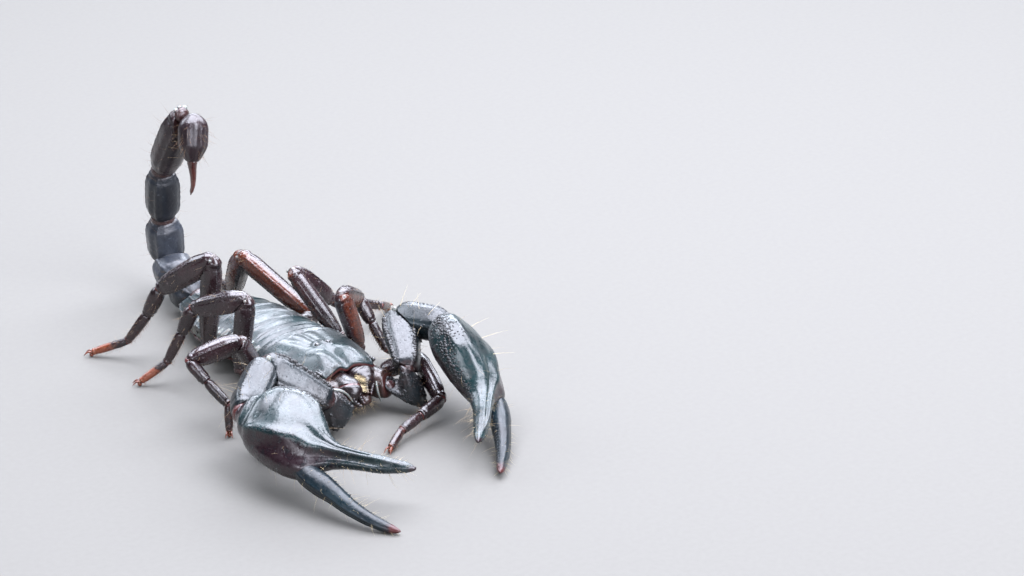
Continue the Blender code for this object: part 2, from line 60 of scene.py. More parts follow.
TRUNK_PITCH = math.radians(3.49)
TRUNK_PIVOT = V3(0, 5.0, 4.5)
TRUNK_DROP = 0.65
CARAPACE_LENGTH = 17.9
CARAPACE_HALF_WIDTHS = ((0.0, 9.0), (-4.0, 8.6), (-9.0, 7.8), (-14.0, 6.75), (-17.0, 6.0), (-18.2, 5.5))
CARAPACE_CROWN = ((0.0, 10.2), (-6.0, 10.15), (-10.5, 9.95), (-14.0, 9.5), (-16.4, 9.0), (-18.0, 8.55))
CARAPACE_RIM = 7.55
NOTCH_DEPTH = 0.75
TERGITES = ((0.3, 2.7), (3.0, 6.2), (6.5, 10.7), (11.0, 15.6), (15.9, 20.8), (21.1, 26.3), (26.8, 33.5))
BACK_CROWN = ((0.0, 10.1), (12.0, 10.3), (22.0, 9.75), (28.0, 9.0), (34.0, 8.0))
BACK_HALF_WIDTHS = ((0.0, 8.9), (6.0, 9.0), (14.0, 9.0), (20.0, 8.7), (26.0, 7.7), (30.5, 6.4), (34.0, 4.3))
BACK_RIM = 7.0
BELLY_FLOOR = ((2.0, 2.2), (4.5, 2.0), (8.0, 1.95), (20.0, 2.4), (30.0, 3.0), (34.0, 3.6))
LEG_SCALE = {1: 0.95, 2: 0.95, 3: 1.0, 4: 1.05}
LEGS = {
    (1, "left"): ((9.2, -13.5, 3.9), (14.7, -17.7, 6.8), (11.8, -29.3, 3.6), (5.9, -31.2, 2.8), (0.8, -32.9, 2.1), (-3.3, -35.4, 0.9)),
    (2, "left"): ((10.9, -4.3, 5.0), (7.6, -3.9, 16.2), (14.4, 0.8, 12.0), (15.3, -1.8, 7.9), (16.5, -4.5, 3.2), (20.8, -4.1, 0.9)),
    (3, "left"): ((11.0, 2.5, 4.8), (7.2, 11.7, 15.5), (15.0, 11.4, 7.9), (20.4, 11.5, 5.9), (26.5, 12.4, 3.4), (30.7, 16.1, 0.9)),
    (4, "left"): ((11.6, 12.9, 5.0), (6.1, 28.2, 13.5), (8.3, 36.0, 3.1), (8.9, 42.2, 2.2), (9.4, 49.1, 1.6), (8.7, 56.0, 0.9)),
    (1, "right"): ((-9.0, -13.4, 4.0), (-14.0, -15.2, 8.8), (-22.3, -19.4, 6.6), (-22.5, -24.0, 4.0), (-21.3, -27.8, 2.4), (-19.8, -31.5, 0.9)),
    (2, "right"): ((-10.4, -4.6, 4.8), (-15.9, -6.8, 14.5), (-25.0, -4.6, 12.4), (-23.6, -8.1, 9.2), (-21.8, -12.0, 5.7), (-22.4, -12.9, 0.9)),
    (3, "right"): ((-10.8, 2.1, 4.3), (-9.7, 0.6, 18.4), (-16.2, 8.5, 15.6), (-17.6, 10.5, 10.5), (-19.9, 12.6, 4.4), (-24.2, 15.1, 0.9)),
    (4, "right"): ((-10.9, 12.9, 4.8), (-9.8, 11.7, 22.5), (-15.6, 21.3, 14.8), (-17.1, 23.8, 9.3), (-19.9, 27.0, 3.5), (-24.8, 31.8, 0.9)),
}
TAIL_JOINTS = ((0.0, 34.1, 4.2), (0.2, 41.5, 5.4), (1.8, 49.0, 6.7), (0.7, 47.9, 16.2), (-0.2, 45.4, 27.0), (0.7, 38.4, 40.0))
TAIL_HALVES = ((3.9, 3.3), (3.7, 3.3), (3.3, 3.2), (3.0, 3.0), (2.85, 2.85))
TAIL_ENDS = (0.84, 0.82, 0.80, 0.78, 0.62)
VESICLE_START, VESICLE_END = V3(1.6, 35.5, 40.8), V3(-0.2, 33.9, 31.8)
STING_TIP = V3(-0.15, 34.75, 25.1)
VESICLE_HALVES = (2.95, 2.65)
ARMS = {
    "right": ((-5.6, -20.4, 5.5), (-8.8, -24.5, 7.4), (-17.7, -17.9, 14.1), (-27.6, -27.0, 11.4)),
    "left": ((6.4, -20.9, 4.6), (8.7, -23.4, 8.4), (14.5, -12.2, 12.9), (17.9, -23.1, 13.9)),
}
HAND_AXES = {"right": ((0.494, -0.862, -0.114), (-0.761, -0.365, -0.536)), "left": ((-0.437, -0.874, -0.213), (0.621, -0.122, -0.774))}
HAND_ARCH, HAND_SWELL = 1.4, 1.3
FINGER_TURN = {"right": 0.0, "left": -0.33}
TROCHANTER_SAG = {"right": (0.2, -1.1, -2.0), "left": (2.2, -0.9, -3.1)}
FIXED_TIP = 33.2
FINGER_PIVOT = (16.9, 7.0)
FEMUR_TWIST = {"right": -27.0, "left": 13.0}
SIDES = {"left": 1, "right": -1}


# ---------------------------------------------------------------- numbers

def unit(v):
    v = np.asarray(v, float)
    return v / np.maximum(np.linalg.norm(v, axis=-1, keepdims=True), 1e-9)


def smooth(x, a, b):
    t = np.clip((np.asarray(x, float) - a) / (b - a), 0, 1)
    return t * t * (3 - 2 * t)


def bump(x, width):
    return np.exp(-((np.asarray(x, float) / width) ** 2))


def curve(table, x):
    """A smooth curve through a short table of (place, value, ...), by monotone cubic steps."""
    rows = np.array(sorted(table), float)
    xs, ys = rows[:, 0], rows[:, 1:]
    h = np.diff(xs)
    d = np.diff(ys, axis=0) / h[:, None]
    m = np.zeros_like(ys)
    m[0], m[-1] = d[0], d[-1]
    for i in range(1, len(xs) - 1):
        same = d[i - 1] * d[i] > 0
        w1, w2 = 2 * h[i] + h[i - 1], h[i] + 2 * h[i - 1]
        with np.errstate(divide="ignore", invalid="ignore"):
            m[i] = np.where(same, (w1 + w2) / (w1 / d[i - 1] + w2 / d[i]), 0)
    x = np.clip(np.asarray(x, float), xs[0], xs[-1])
    i = np.clip(np.searchsorted(xs, x, side="right") - 1, 0, len(xs) - 2)
    t = ((x - xs[i]) / h[i])[..., None]
    hi = h[i][..., None]
    out = (2 * t**3 - 3 * t**2 + 1) * ys[i] + (t**3 - 2 * t**2 + t) * hi * m[i] + (-2 * t**3 + 3 * t**2) * ys[i + 1] + (t**3 - t**2) * hi * m[i + 1]
    return out[..., 0] if out.shape[-1] == 1 else out


WAVES = [(unit(rng.normal(size=3)), rng.uniform(0, 6.28)) for _ in range(40)]


def noise(p, size, seed=0, octaves=3):
    """Smooth noise from about -1 to 1, with features of about this size in millimetres."""
    p = np.asarray(p, float)
    out = np.zeros(p.shape[:-1])
    total, amp, k = 0.0, 1.0, 2.2 / size
    for o in range(octaves):
        for j in range(6):
            d, ph = WAVES[(seed * 7 + o * 6 + j) % len(WAVES)]
            d2, ph2 = WAVES[(seed * 5 + o * 3 + j * 11 + 3) % len(WAVES)]
            out += amp * np.sin(p @ d * k + ph + 1.7 * np.sin(p @ d2 * k * 0.6 + ph2)) / 3.2
        total += amp
        amp *= 0.55
        k *= 2.1
    return out / total


def trunk(p):
    p = np.asarray(p, float)
    c, s = math.cos(TRUNK_PITCH), math.sin(TRUNK_PITCH)
    q = p - TRUNK_PIVOT
    return np.stack([q[..., 0], q[..., 1] * c + q[..., 2] * s, -q[..., 1] * s + q[..., 2] * c], -1) + TRUNK_PIVOT - V3(0, 0, TRUNK_DROP)


def frame_of(direction, side_hint):
    direction = unit(direction)
    side_hint = np.asarray(side_hint, float)
    side = unit(side_hint - direction * np.sum(side_hint * direction, -1, keepdims=True))
    return direction, side, np.cross(side, direction)


# ---------------------------------------------------------------- meshes

class Build:
    """Collects faces in millimetres, with two colour values per point, and a material number per face."""

    def __init__(self):
        self.points, self.tone, self.zone, self.uv = [], [], [], []
        self.quads, self.tris, self.qm, self.tm = [], [], [], []
        self.count = 0

    def add(self, points, quads=None, tris=None, mat=0, tone=0.0, zone=0.0, uv=None):
        points = np.asarray(points, float).reshape(-1, 3)
        n = len(points)
        self.points.append(points)
        self.tone.append(np.broadcast_to(np.asarray(tone, float).reshape(-1), (n,)) if np.size(tone) == 1 else np.asarray(tone, float).reshape(-1))
        self.zone.append(np.broadcast_to(np.asarray(zone, float).reshape(-1), (n,)) if np.size(zone) == 1 else np.asarray(zone, float).reshape(-1))
        self.uv.append(np.zeros((n, 2)) if uv is None else uv)
        if quads is not None and len(quads):
            self.quads.append(np.asarray(quads) + self.count)
            self.qm.append(np.full(len(quads), mat))
        if tris is not None and len(tris):
            self.tris.append(np.asarray(tris) + self.count)
            self.tm.append(np.full(len(tris), mat))
        self.count += n

    def object(self, name, materials, uv=False):
        points = np.concatenate(self.points)
        points[:, 2] = np.maximum(points[:, 2], 0.0)
        points = (points + SHIFT) * 0.001
        quads = np.concatenate(self.quads) if self.quads else np.zeros((0, 4), int)
        tris = np.concatenate(self.tris) if self.tris else np.zeros((0, 3), int)
        mesh = bpy.data.meshes.new(name)
        mesh.vertices.add(len(points))
        mesh.vertices.foreach_set("co", points.ravel().astype(np.float32))
        loops = np.concatenate([quads.ravel(), tris.ravel()]).astype(np.int32)
        mesh.loops.add(len(loops))
        mesh.loops.foreach_set("vertex_index", loops)
        mesh.polygons.add(len(quads) + len(tris))
        starts = np.concatenate([np.arange(len(quads)) * 4, len(quads) * 4 + np.arange(len(tris)) * 3])
        mesh.polygons.foreach_set("loop_start", starts.astype(np.int32))
        mats = np.concatenate(self.qm + self.tm).astype(np.int32)
        mesh.polygons.foreach_set("material_index", mats)
        mesh.update(calc_edges=True)
        mesh.validate()
        mesh.shade_smooth()
        for key, values in (("tone", self.tone), ("zone", self.zone)):
            made = mesh.attributes.new(key, "FLOAT", "POINT")
            made.data.foreach_set("value", np.concatenate(values).astype(np.float32))
        if uv:
            layer = mesh.uv_layers.new(name="OFBake")
            values = np.concatenate(self.uv)[loops]
            layer.data.foreach_set("uv", values.ravel().astype(np.float32))
        for material in materials:
            mesh.materials.append(material)
        obj = bpy.data.objects.new(name, mesh)
        bpy.context.scene.collection.objects.link(obj)
        return obj


def grid_faces(rows, cols, wrap):
    i = np.arange(rows - 1)[:, None]
    j = np.arange(cols if wrap else cols - 1)[None]
    k = (j + 1) % cols
    a, b, c, d = np.broadcast_arrays(i * cols + j, i * cols + k, (i + 1) * cols + k, (i + 1) * cols + j)
    return np.stack([a, b, c, d], -1).reshape(-1, 4)


def grid_normals(P, wrap):
    du = np.gradient(P, axis=0)
    if wrap:
        dv = (np.roll(P, -1, 1) - np.roll(P, 1, 1)) / 2
    else:
        dv = np.gradient(P, axis=1)
    return unit(np.cross(dv, du))


class Skin:
    """A grid of points over one surface, with its outward directions, kept so that grains and hairs can be put on it."""

    def __init__(self, P, N, t, angle, wrap=True):
        self.P, self.N, self.t, self.angle, self.wrap = P, N, t, angle, wrap

    def at(self, t, angle):
        """Points and directions at these parts of the length and angles, between the grid's own points."""
        i = np.interp(t, self.t, np.arange(len(self.t)))
        if self.wrap:
            step = 2 * np.pi / len(self.angle)
            j = ((np.asarray(angle) - self.angle[0]) / step) % len(self.angle)
        else:
            j = np.interp(angle, self.angle, np.arange(len(self.angle)))
        i0 = np.clip(np.floor(i).astype(int), 0, len(self.t) - 2)
        j0 = np.floor(j).astype(int)
        fi, fj = (i - i0)[..., None], (j - j0)[..., None]
        if self.wrap:
            j0 %= len(self.angle)
            j1 = (j0 + 1) % len(self.angle)
        else:
            j0 = np.clip(j0, 0, len(self.angle) - 2)
            j1 = j0 + 1
            fj = np.clip(fj, 0, 1)
        mixed = lambda A: (A[i0, j0] * (1 - fj) + A[i0, j1] * fj) * (1 - fi) + (A[i0 + 1, j0] * (1 - fj) + A[i0 + 1, j1] * fj) * fi
        return mixed(self.P), unit(mixed(self.N))


def squircle(angle, power):
    c, s = np.cos(angle), np.sin(angle)
    return np.sign(c) * np.abs(c) ** (2 / power), np.sign(s) * np.abs(s) ** (2 / power)


def loft(build, centres, side, up, a, b, t, power=2.0, around=64, relief=None, mat=0, tone=0.0, zone=None, ends=None, cuts=()):
    """A closed tube through these centres. relief(t, angle, P) gives how far each point stands out; zone the same for colour. Returns its Skin."""
    n = len(centres)
    angle = (np.arange(around) + 0.5) / around * 2 * np.pi - np.pi
    side, up = np.broadcast_to(side, (n, 3)), np.broadcast_to(up, (n, 3))
    power = np.broadcast_to(power, (n,))
    c, s = squircle(angle[None], power[:, None])
    P = centres[:, None] + side[:, None] * (c * np.asarray(a)[:, None])[..., None] + up[:, None] * (s * np.asarray(b)[:, None])[..., None]
    for cut in cuts:
        P = cut(P)
    N = grid_normals(P, True)
    out = np.sum(N * (P - centres[:, None]), -1).mean()
    if out < 0:
        N = -N
    T, A = np.broadcast_arrays(np.asarray(t)[:, None], angle[None])
    if relief is not None:
        P = P + N * relief(T, A, P)[..., None]
        N = grid_normals(P, True) * (1 if out >= 0 else -1)
    quads = grid_faces(n, around, True)
    first, last = (P[0].mean(0), P[-1].mean(0)) if ends is None else ends
    points = np.concatenate([P.reshape(-1, 3), first[None], last[None]])
    j = np.arange(around)
    k = (j + 1) % around
    tris = np.concatenate([np.stack([k, j, np.full(around, n * around)], -1), np.stack([(n - 1) * around + j, (n - 1) * around + k, np.full(around, n * around + 1)], -1)])
    if out < 0:
        pass
    value = lambda v: v if np.size(v) == 1 else np.concatenate([np.asarray(v).ravel(), [np.asarray(v)[0].mean(), np.asarray(v)[-1].mean()]])
    tn = tone(T, A, P) if callable(tone) else tone
    zn = zone(T, A, P) if callable(zone) else (0.0 if zone is None else zone)
    # du x dv order above gives outward faces when the ring turns the right way; turn them if not.
    normal = np.cross(points[quads[:, 1]] - points[quads[:, 0]], points[quads[:, 3]] - points[quads[:, 0]])
    middle = centres[np.minimum(np.arange(len(quads)) // around, n - 1)]
    if np.sum(normal * (points[quads[:, 0]] - middle)) < 0:
        quads, tris = quads[:, ::-1], tris[:, ::-1]
    build.add(points, quads, tris, mat, value(tn), value(zn))
    return Skin(P, N, np.asarray(t), angle)


class Cut:
    def __init__(self, point, normal, slide, gap=0.1):
        self.point, self.normal, self.slide, self.gap = np.asarray(point, float), unit(normal), unit(slide), gap

    def __call__(self, P):
        depth = np.sum((P - self.point) * self.normal, -1) - self.gap
        push = np.where(depth < 0, depth / np.sum(self.slide * self.normal), 0.0)
        return P - self.slide * push[..., None]


def joint_cut(before, joint, after, first, gap=0.1):
    before, joint, after = (np.asarray(p, float) for p in (before, joint, after))
    normal = unit(before - joint) - unit(after - joint)
    return Cut(joint, normal if first else -normal, (before if first else after) - joint, gap)


SHARE_OF_DETAIL = 0.82


def rod(build, start, end, side_hint, sizes, power=2.4, overrun=(0.35, 0.35), around=64, fine=0.16, sag=(0, 0, 0), bow=0.0, relief=None, mat=0, tone=0.0, zone=None, cuts=(), blunt=2.0):
    """One limb segment, as the solids have it: sizes is a table of (part of the length, half side, half up)."""
    around, fine = 2 * int(around * SHARE_OF_DETAIL / 2), fine / SHARE_OF_DETAIL
    start, end = np.asarray(start, float), np.asarray(end, float)
    direction, side, up = frame_of(end - start, side_hint)
    length = np.linalg.norm(end - start)
    r0, r1 = max(sizes[0][1:3]), max(sizes[-1][1:3])
    low, high = -overrun[0] * r0, length + overrun[1] * r1
    ncap = 10
    caps = np.linspace(0.06, np.pi / 2, ncap)
    x0 = low + r0 * (1 - np.cos(caps))
    x1 = high - r1 * (1 - np.cos(caps[::-1]))
    lo, hi = x0[-1], x1[0]
    if hi < lo:
        lo = hi = (lo + hi) / 2
    nm = max(4, int((hi - lo) / fine))
    xs = np.concatenate([x0, np.linspace(lo, hi, nm + 2)[1:-1], x1])
    f = np.concatenate([np.sin(caps) ** (2 / blunt), np.ones(nm), np.sin(caps[::-1]) ** (2 / blunt)])
    order = np.argsort(xs, kind="stable")
    xs, f = xs[order], f[order]
    t = xs / length
    h = curve(sizes, np.clip(t, 0, 1))
    mid = np.sin(np.pi * np.clip(t, 0, 1))
    centres = start + direction * xs[:, None] + (up * bow + np.asarray(sag, float)) * mid[:, None]
    ends = (start + direction * low, start + direction * high)
    for cut in cuts:
        ends = tuple(cut(e) for e in ends)
    return loft(build, centres, side, up, h[:, 0] * f, h[:, 1] * f, t, power, around, relief, mat, tone, zone, ends=ends, cuts=cuts)


def ball(build, centre, radii, axes=None, mat=0, tone=0.0, zone=0.0, around=28, rings=16, relief=None):
    axes = np.eye(3) if axes is None else np.asarray(axes, float)
    lat = np.linspace(0, np.pi, rings + 2)[1:-1]
    centres = np.asarray(centre, float) - axes[2] * (radii[2] * np.cos(lat))[:, None]
    return loft(build, centres, axes[0], axes[1], radii[0] * np.sin(lat), radii[1] * np.sin(lat), lat / np.pi, 2.0, around, relief, mat, tone, zone,
                ends=(np.asarray(centre, float) - axes[2] * radii[2], np.asarray(centre, float) + axes[2] * radii[2]))


def sheet(build, P, mat=0, tone=0.0, zone=0.0, up=(0, 0, 1)):
    """An open grid of points as a surface facing up. Returns its Skin."""
    rows, cols = P.shape[:2]
    quads = grid_faces(rows, cols, False)
    N = grid_normals(P, False)
    if np.sum(N * np.asarray(up, float)) < 0:
        N = -N
    flat = P.reshape(-1, 3)
    normal = np.cross(flat[quads[:, 1]] - flat[quads[:, 0]], flat[quads[:, 3]] - flat[quads[:, 0]])
    if np.sum(normal * N.reshape(-1, 3)[quads[:, 0]]) < 0:
        quads = quads[:, ::-1]
    build.add(flat, quads, None, mat, tone, zone)
    return Skin(P, N, np.linspace(0, 1, rows), np.linspace(-1, 1, cols), False)


DOME_AROUND = 7
DOME_LAT = (0.0, 0.80)


def grains(build, skin, t, angle, radius, height=0.7, mat=0, tone=1.0, lean=0.0, sink=0.25):
    """Small domes on a surface, at these places."""
    t, angle = np.asarray(t, float), np.asarray(angle, float)
    if not len(t):
        return
    base, normal = skin.at(t, angle)
    radius = np.broadcast_to(radius, t.shape)
    height = np.broadcast_to(height, t.shape)
    helper = unit(np.cross(normal, V3(0.31, 0.52, 0.79)))
    other = np.cross(normal, helper)
    ring = np.arange(DOME_AROUND) / DOME_AROUND * 2 * np.pi
    local, n = [], len(t)
    for lat in DOME_LAT:
        rad, up = math.cos(lat), math.sin(lat) - sink
        for a in ring:
            local.append((rad * math.cos(a), rad * math.sin(a), up))
    local.append((0, 0, 1 - sink))
    local = np.array(local)
    pts = base[:, None] + radius[:, None, None] * (helper[:, None] * local[None, :, :1] + other[:, None] * local[None, :, 1:2] + normal[:, None] * (local[None, :, 2:] * height[:, None, None]))
    m = len(local)
    j = np.arange(DOME_AROUND)
    k = (j + 1) % DOME_AROUND
    quads = np.concatenate([np.stack([r * DOME_AROUND + j, r * DOME_AROUND + k, (r + 1) * DOME_AROUND + k, (r + 1) * DOME_AROUND + j], -1) for r in range(len(DOME_LAT) - 1)])
    top = (len(DOME_LAT) - 1) * DOME_AROUND
    tris = np.stack([top + j, top + k, np.full(DOME_AROUND, m - 1)], -1)
    offs = (np.arange(n) * m)[:, None, None]
    build.add(pts.reshape(-1, 3), (quads[None] + offs).reshape(-1, 4), (tris[None] + offs).reshape(-1, 3), mat, tone)


HAIRS = {"short": Build(), "long": Build()}
HAIR_CELLS = {"n": 0}


def hairs(kind, skin, t, angle, length, width, lean=0.5, toward=None, droop=0.0, tone=0.0):
    """Setae: thin curved three-sided spikes. toward is the way they lean; each one's UV is a small patch at its root's place on the unwrapped limb."""
    t, angle = np.asarray(t, float), np.asarray(angle, float)
    n = len(t)
    if not n:
        return
    base, normal = skin.at(t, angle)
    length = np.broadcast_to(length, (n,)) * rng.uniform(0.7, 1.25, n)
    width = np.broadcast_to(width, (n,))
    ahead, _ = skin.at(np.clip(t + 0.02, 0, 1), angle)
    along = unit(ahead - base + 1e-6) if toward is None else np.broadcast_to(unit(toward), (n, 3))
    wild = unit(rng.normal(size=(n, 3)))
    direction = unit(normal + along * lean + wild * 0.22)
    curl = unit(along + wild * 0.5) * (0.28 * length)[:, None] - V3(0, 0, 1) * (droop * length)[:, None]
    across = unit(np.cross(direction, wild))
    other = np.cross(direction, across)
    steps = (0.0, 0.35, 0.7, 1.0)
    pts = []
    for u in steps:
        centre = base - normal * 0.05 + direction * (length * u)[:, None] + curl * (u * u)
        r = width * (1.0 - 0.88 * u)
        for a in (0.0, 2.094, 4.189):
            pts.append(centre + across * (r * math.cos(a))[:, None] + other * (r * math.sin(a))[:, None])
    pts = np.stack(pts, 1)
    m = 12
    quads = np.array([[3 * i + a, 3 * i + (a + 1) % 3, 3 * i + 3 + (a + 1) % 3, 3 * i + 3 + a] for i in range(3) for a in range(3)])
    offs = (np.arange(n) * m)[:, None, None]
    cell = HAIR_CELLS["n"]
    HAIR_CELLS["n"] += 1
    root = np.stack([(cell % 12 + 0.08 + 0.84 * np.clip(t, 0, 1)) / 12, ((cell // 12) % 12 + 0.08 + 0.84 * ((angle + np.pi) / (2 * np.pi) % 1)) / 12], -1)
    patch = np.array([(0.0015 * math.cos(a), 0.003 * u) for u in steps for a in (0.0, 2.094, 4.189)])
    HAIRS[kind].add(pts.reshape(-1, 3), (quads[None] + offs).reshape(-1, 4), None, 0, tone, uv=(root[:, None] + patch[None]).reshape(-1, 2))


def strand(skin, t, angle, heading, length, curl, width=0.035, tone=0.55):
    """One long seta of a known course: heading at the root, curl by the tip."""
    base, _ = skin.at(np.array([t]), np.array([angle]))
    heading = unit(heading)
    u = np.linspace(0, 1, 12)
    line = base + heading * (length * u)[:, None] + np.asarray(curl, float) * (u**2)[:, None]
    _, side, up = frame_of(unit(np.gradient(line, axis=0)), (0.3, 0.5, 0.8))
    r = width * (1 - 0.85 * u)
    ring = np.array([0.0, 1.571, 3.142, 4.712])
    pts = line[:, None] + side[:, None] * (r[:, None] * np.cos(ring))[..., None] + up[:, None] * (r[:, None] * np.sin(ring))[..., None]
    cell = HAIR_CELLS["n"]
    HAIR_CELLS["n"] += 1
    root = np.array([(cell % 12 + 0.08 + 0.84 * t) / 12, ((cell // 12) % 12 + 0.5) / 12])
    uv = root + np.stack(np.broadcast_arrays(0.0015 * np.cos(ring)[None], 0.003 * u[:, None]), -1)
    HAIRS["long"].add(pts.reshape(-1, 3), grid_faces(12, 4, True), None, 0, tone, uv=uv.reshape(-1, 2))


def keel_places(angles, start, end, step, length, jitter=0.03, wobble=0.12):
    t, a = [], []
    n = max(2, int((end - start) * length / step))
    for angle in angles:
        tt = np.linspace(start, end, n) + rng.normal(0, jitter / length, n)
        t.append(tt)
        a.append(angle + rng.normal(0, wobble, n))
    return np.concatenate(t), np.concatenate(a)


def scatter(count, t0=0.05, t1=0.95, a0=-np.pi, a1=np.pi):
    return rng.uniform(t0, t1, count), rng.uniform(a0, a1, count)


# ---------------------------------------------------------------- pieces

def piece(build, name, materials, slot, *cad_nodes, uv=False):
    obj = build.object(name, materials, uv)
    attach(obj, "root")
    if cad_nodes:
        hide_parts(*cad_nodes)
    return obj


def plate(build, P, thick, edge=0.12, mat=0, tone=0.0, zone=0.0, up=(0, 0, 1)):
    """A closed thin plate under this grid of points, with a rounded edge. Returns the Skin of its upper side."""
    rows, cols = P.shape[:2]
    N = grid_normals(P, False)
    if np.sum(N * np.asarray(up, float)) < 0:
        N = -N
    B = P - N * np.asarray(thick)[..., None]
    loop = [(0, j) for j in range(cols)] + [(i, cols - 1) for i in range(1, rows)] + [(rows - 1, j) for j in range(cols - 2, -1, -1)] + [(i, 0) for i in range(rows - 2, 0, -1)]
    li, lj = np.array(loop).T
    ii, ij = np.clip(li, 1, rows - 2), np.clip(lj, 1, cols - 2)
    outward = unit(P[li, lj] - P[ii, ij])
    rim = P[li, lj] * 0.5 + B[li, lj] * 0.5 + outward * edge
    n = rows * cols
    quads = grid_faces(rows, cols, False)
    flat = P.reshape(-1, 3)
    normal = np.cross(flat[quads[:, 1]] - flat[quads[:, 0]], flat[quads[:, 3]] - flat[quads[:, 0]])
    flip = np.sum(normal * N.reshape(-1, 3)[quads[:, 0]]) < 0
    if flip:
        quads = quads[:, ::-1]
    top = li * cols + lj
    k = np.arange(len(loop))
    k1 = (k + 1) % len(loop)
    sides = np.concatenate([np.stack([top[k], top[k1], 2 * n + k1, 2 * n + k], -1), np.stack([2 * n + k, 2 * n + k1, n + top[k1], n + top[k]], -1)])
    points = np.concatenate([flat, B.reshape(-1, 3), rim])
    sn = np.cross(points[sides[:, 1]] - points[sides[:, 0]], points[sides[:, 3]] - points[sides[:, 0]])
    if np.sum(sn * np.concatenate([outward, outward])) < 0:
        sides = sides[:, ::-1]
    fill = lambda v: v if np.size(v) == 1 else np.concatenate([np.asarray(v).ravel(), np.asarray(v).ravel(), np.asarray(v)[li, lj]])
    build.add(points, np.concatenate([quads, quads[:, ::-1] + n, sides]), None, mat, fill(tone), fill(zone))
    return Skin(P, N, np.linspace(0, 1, rows), np.linspace(-1, 1, cols), False)


def grid(rows, cols, u0=-1.0, u1=1.0, v0=0.0, v1=1.0):
    V, U = np.meshgrid(np.linspace(v0, v1, rows), np.linspace(u0, u1, cols), indexing="ij")
    return U, V


SKINS = {}

# -- carapace

def carapace_at(U, V):
    over = np.clip(np.abs(U) - 1, 0, None) / 0.14
    tip = np.clip(V - 1, 0, None) / 0.05
    u, v = np.clip(U, -1, 1), np.clip(V, 0, 1)
    wy = -CARAPACE_LENGTH * v
    y = wy + NOTCH_DEPTH * bump(u, 0.30) * smooth(v, 0.75, 1.0) - 0.25 * (1 - u * u) * (1 - v)
    y = y + 0.9 * smooth(v, 0.7, 1.0) * smooth(np.abs(u), 0.72, 1.0)
    width = curve(CARAPACE_HALF_WIDTHS, wy)
    x = width * np.sin(u * np.pi / 2 * 0.9) / math.sin(math.pi / 2 * 0.9)
    s = x / width
    crown = curve(CARAPACE_CROWN, wy)
    z = CARAPACE_RIM + (crown - CARAPACE_RIM) * (1 - np.abs(s) ** 2.6)
    front = smooth(-y, 9.5, 13.0)
    z = z + 0.45 * bump(np.abs(x) - 3.0, 1.9) * front * (1 - smooth(-y, 16.5, 18.5) * 0.6)
    z = z + 0.34 * bump(np.abs(x) - 3.2, 1.9) * bump(y + 14.3, 2.4) - 0.5 * smooth(-y, 16.4, 18.3) ** 2
    z = z - 0.60 * bump(x, 0.95) * smooth(-y, 10.4, 12.8)
    z = z - 0.28 * bump(x, 0.6) * (1 - smooth(-y, 6.4, 8.0)) * smooth(-y, 0.6, 1.6)
    r = np.hypot(x * 0.85, y - -9.3)
    z = z + 0.62 * bump(r, 1.55)
    z = z - 0.16 * bump(x, 0.28) * bump(y + 9.3, 1.5)
    # furrows that fork back from the eyes, the hollow behind, and the rolled margin
    fork = np.abs(x) - (1.9 + 0.30 * (np.clip(-y, 0, 9) - 9) * -1 * 0.55)
    z = z - 0.16 * bump(fork, 0.8) * smooth(-y, 1.6, 3.2) * (1 - smooth(-y, 8.0, 9.6))
    z = z - 0.18 * bump(np.abs(x) - 5.2 - 0.12 * (y + 6), 1.1) * bump(y + 5.5, 3.2)
    z = z - 0.14 * bump(np.hypot(np.abs(x) - 3.3, (y + 3.2) * 0.6), 1.2)
    z = z + 0.12 * bump(np.abs(u) - 0.975, 0.03) - 0.10 * bump(np.abs(u) - 0.91, 0.035)
    z = z + 0.08 * bump(v - 0.03, 0.03) - 0.08 * bump(v - 0.09, 0.035)
    # down the sides and the front
    swing = np.sin(over * np.pi * 0.62)
    x = x + np.sign(U) * (0.20 * swing - 0.35 * over**2) * (over > 0)
    z = z - 1.75 * over
    y = y - 0.10 * np.sin(tip * np.pi * 0.6) + 0.10 * tip
    z = z - 0.75 * tip
    return x, y, z


U, V = grid(212, 212, -1.14, 1.14, 0.0, 1.05)
x, y, z = carapace_at(U, V)
for sign in (1, -1):
    ex, ey, ez = 1.12 * sign, -9.4, 10.18
    d = np.sqrt((x - ex) ** 2 + (y - ey) ** 2 + ((z - ez) * 0.8) ** 2)
    z = z - 0.22 * bump(d - 0.45, 0.22)
    z = z + 0.16 * bump(np.hypot(x - ex * 0.86, (y - ey) * 0.8) - 0.78, 0.2)
    for k in range(3):
        d = np.hypot(x - 5.55 * sign, y + 17.35 - 0.62 * k)
        z = z + 0.08 * bump(d - 0.42, 0.14)
P = trunk(np.stack([x, y, z], -1))
fine = noise(P, 1.6, 1, 3) * 0.008 + noise(P, 6.0, 2, 2) * 0.05
N = grid_normals(P, False)
N = N if N[..., 2].mean() > 0 else -N
P = P + N * fine[..., None]
body = Build()
margin = smooth(np.abs(U), 0.92, 1.06) * 0.35 + smooth(V, 1.0, 1.03) * 1.0
skin = plate(body, P, np.full(U.shape, 0.35), 0.1, zone=np.clip(margin, 0, 1))
n = 1300
u = rng.uniform(0.55, 1.08, n) * rng.choice([-1, 1], n)
v = rng.uniform(0.02, 0.97, n)
keep = rng.random(n) < 0.25 + 0.75 * smooth(np.abs(u), 0.7, 0.95)
grains(body, skin, v[keep], (u / 1.14)[keep], rng.uniform(0.05, 0.12, keep.sum()), 0.6)
n = 500
u, v = rng.uniform(-0.95, 0.95, n), rng.uniform(0.72, 0.96, n)
grains(body, skin, v, u / 1.14, rng.uniform(0.04, 0.09, n), 0.6)
hairs("short", skin, rng.uniform(0.915, 0.945, 26), rng.uniform(-0.8, 0.8, 26), 0.9, 0.022, 0.4, toward=(0, -1, 0.4))
CARAPACE = body

# -- back plates

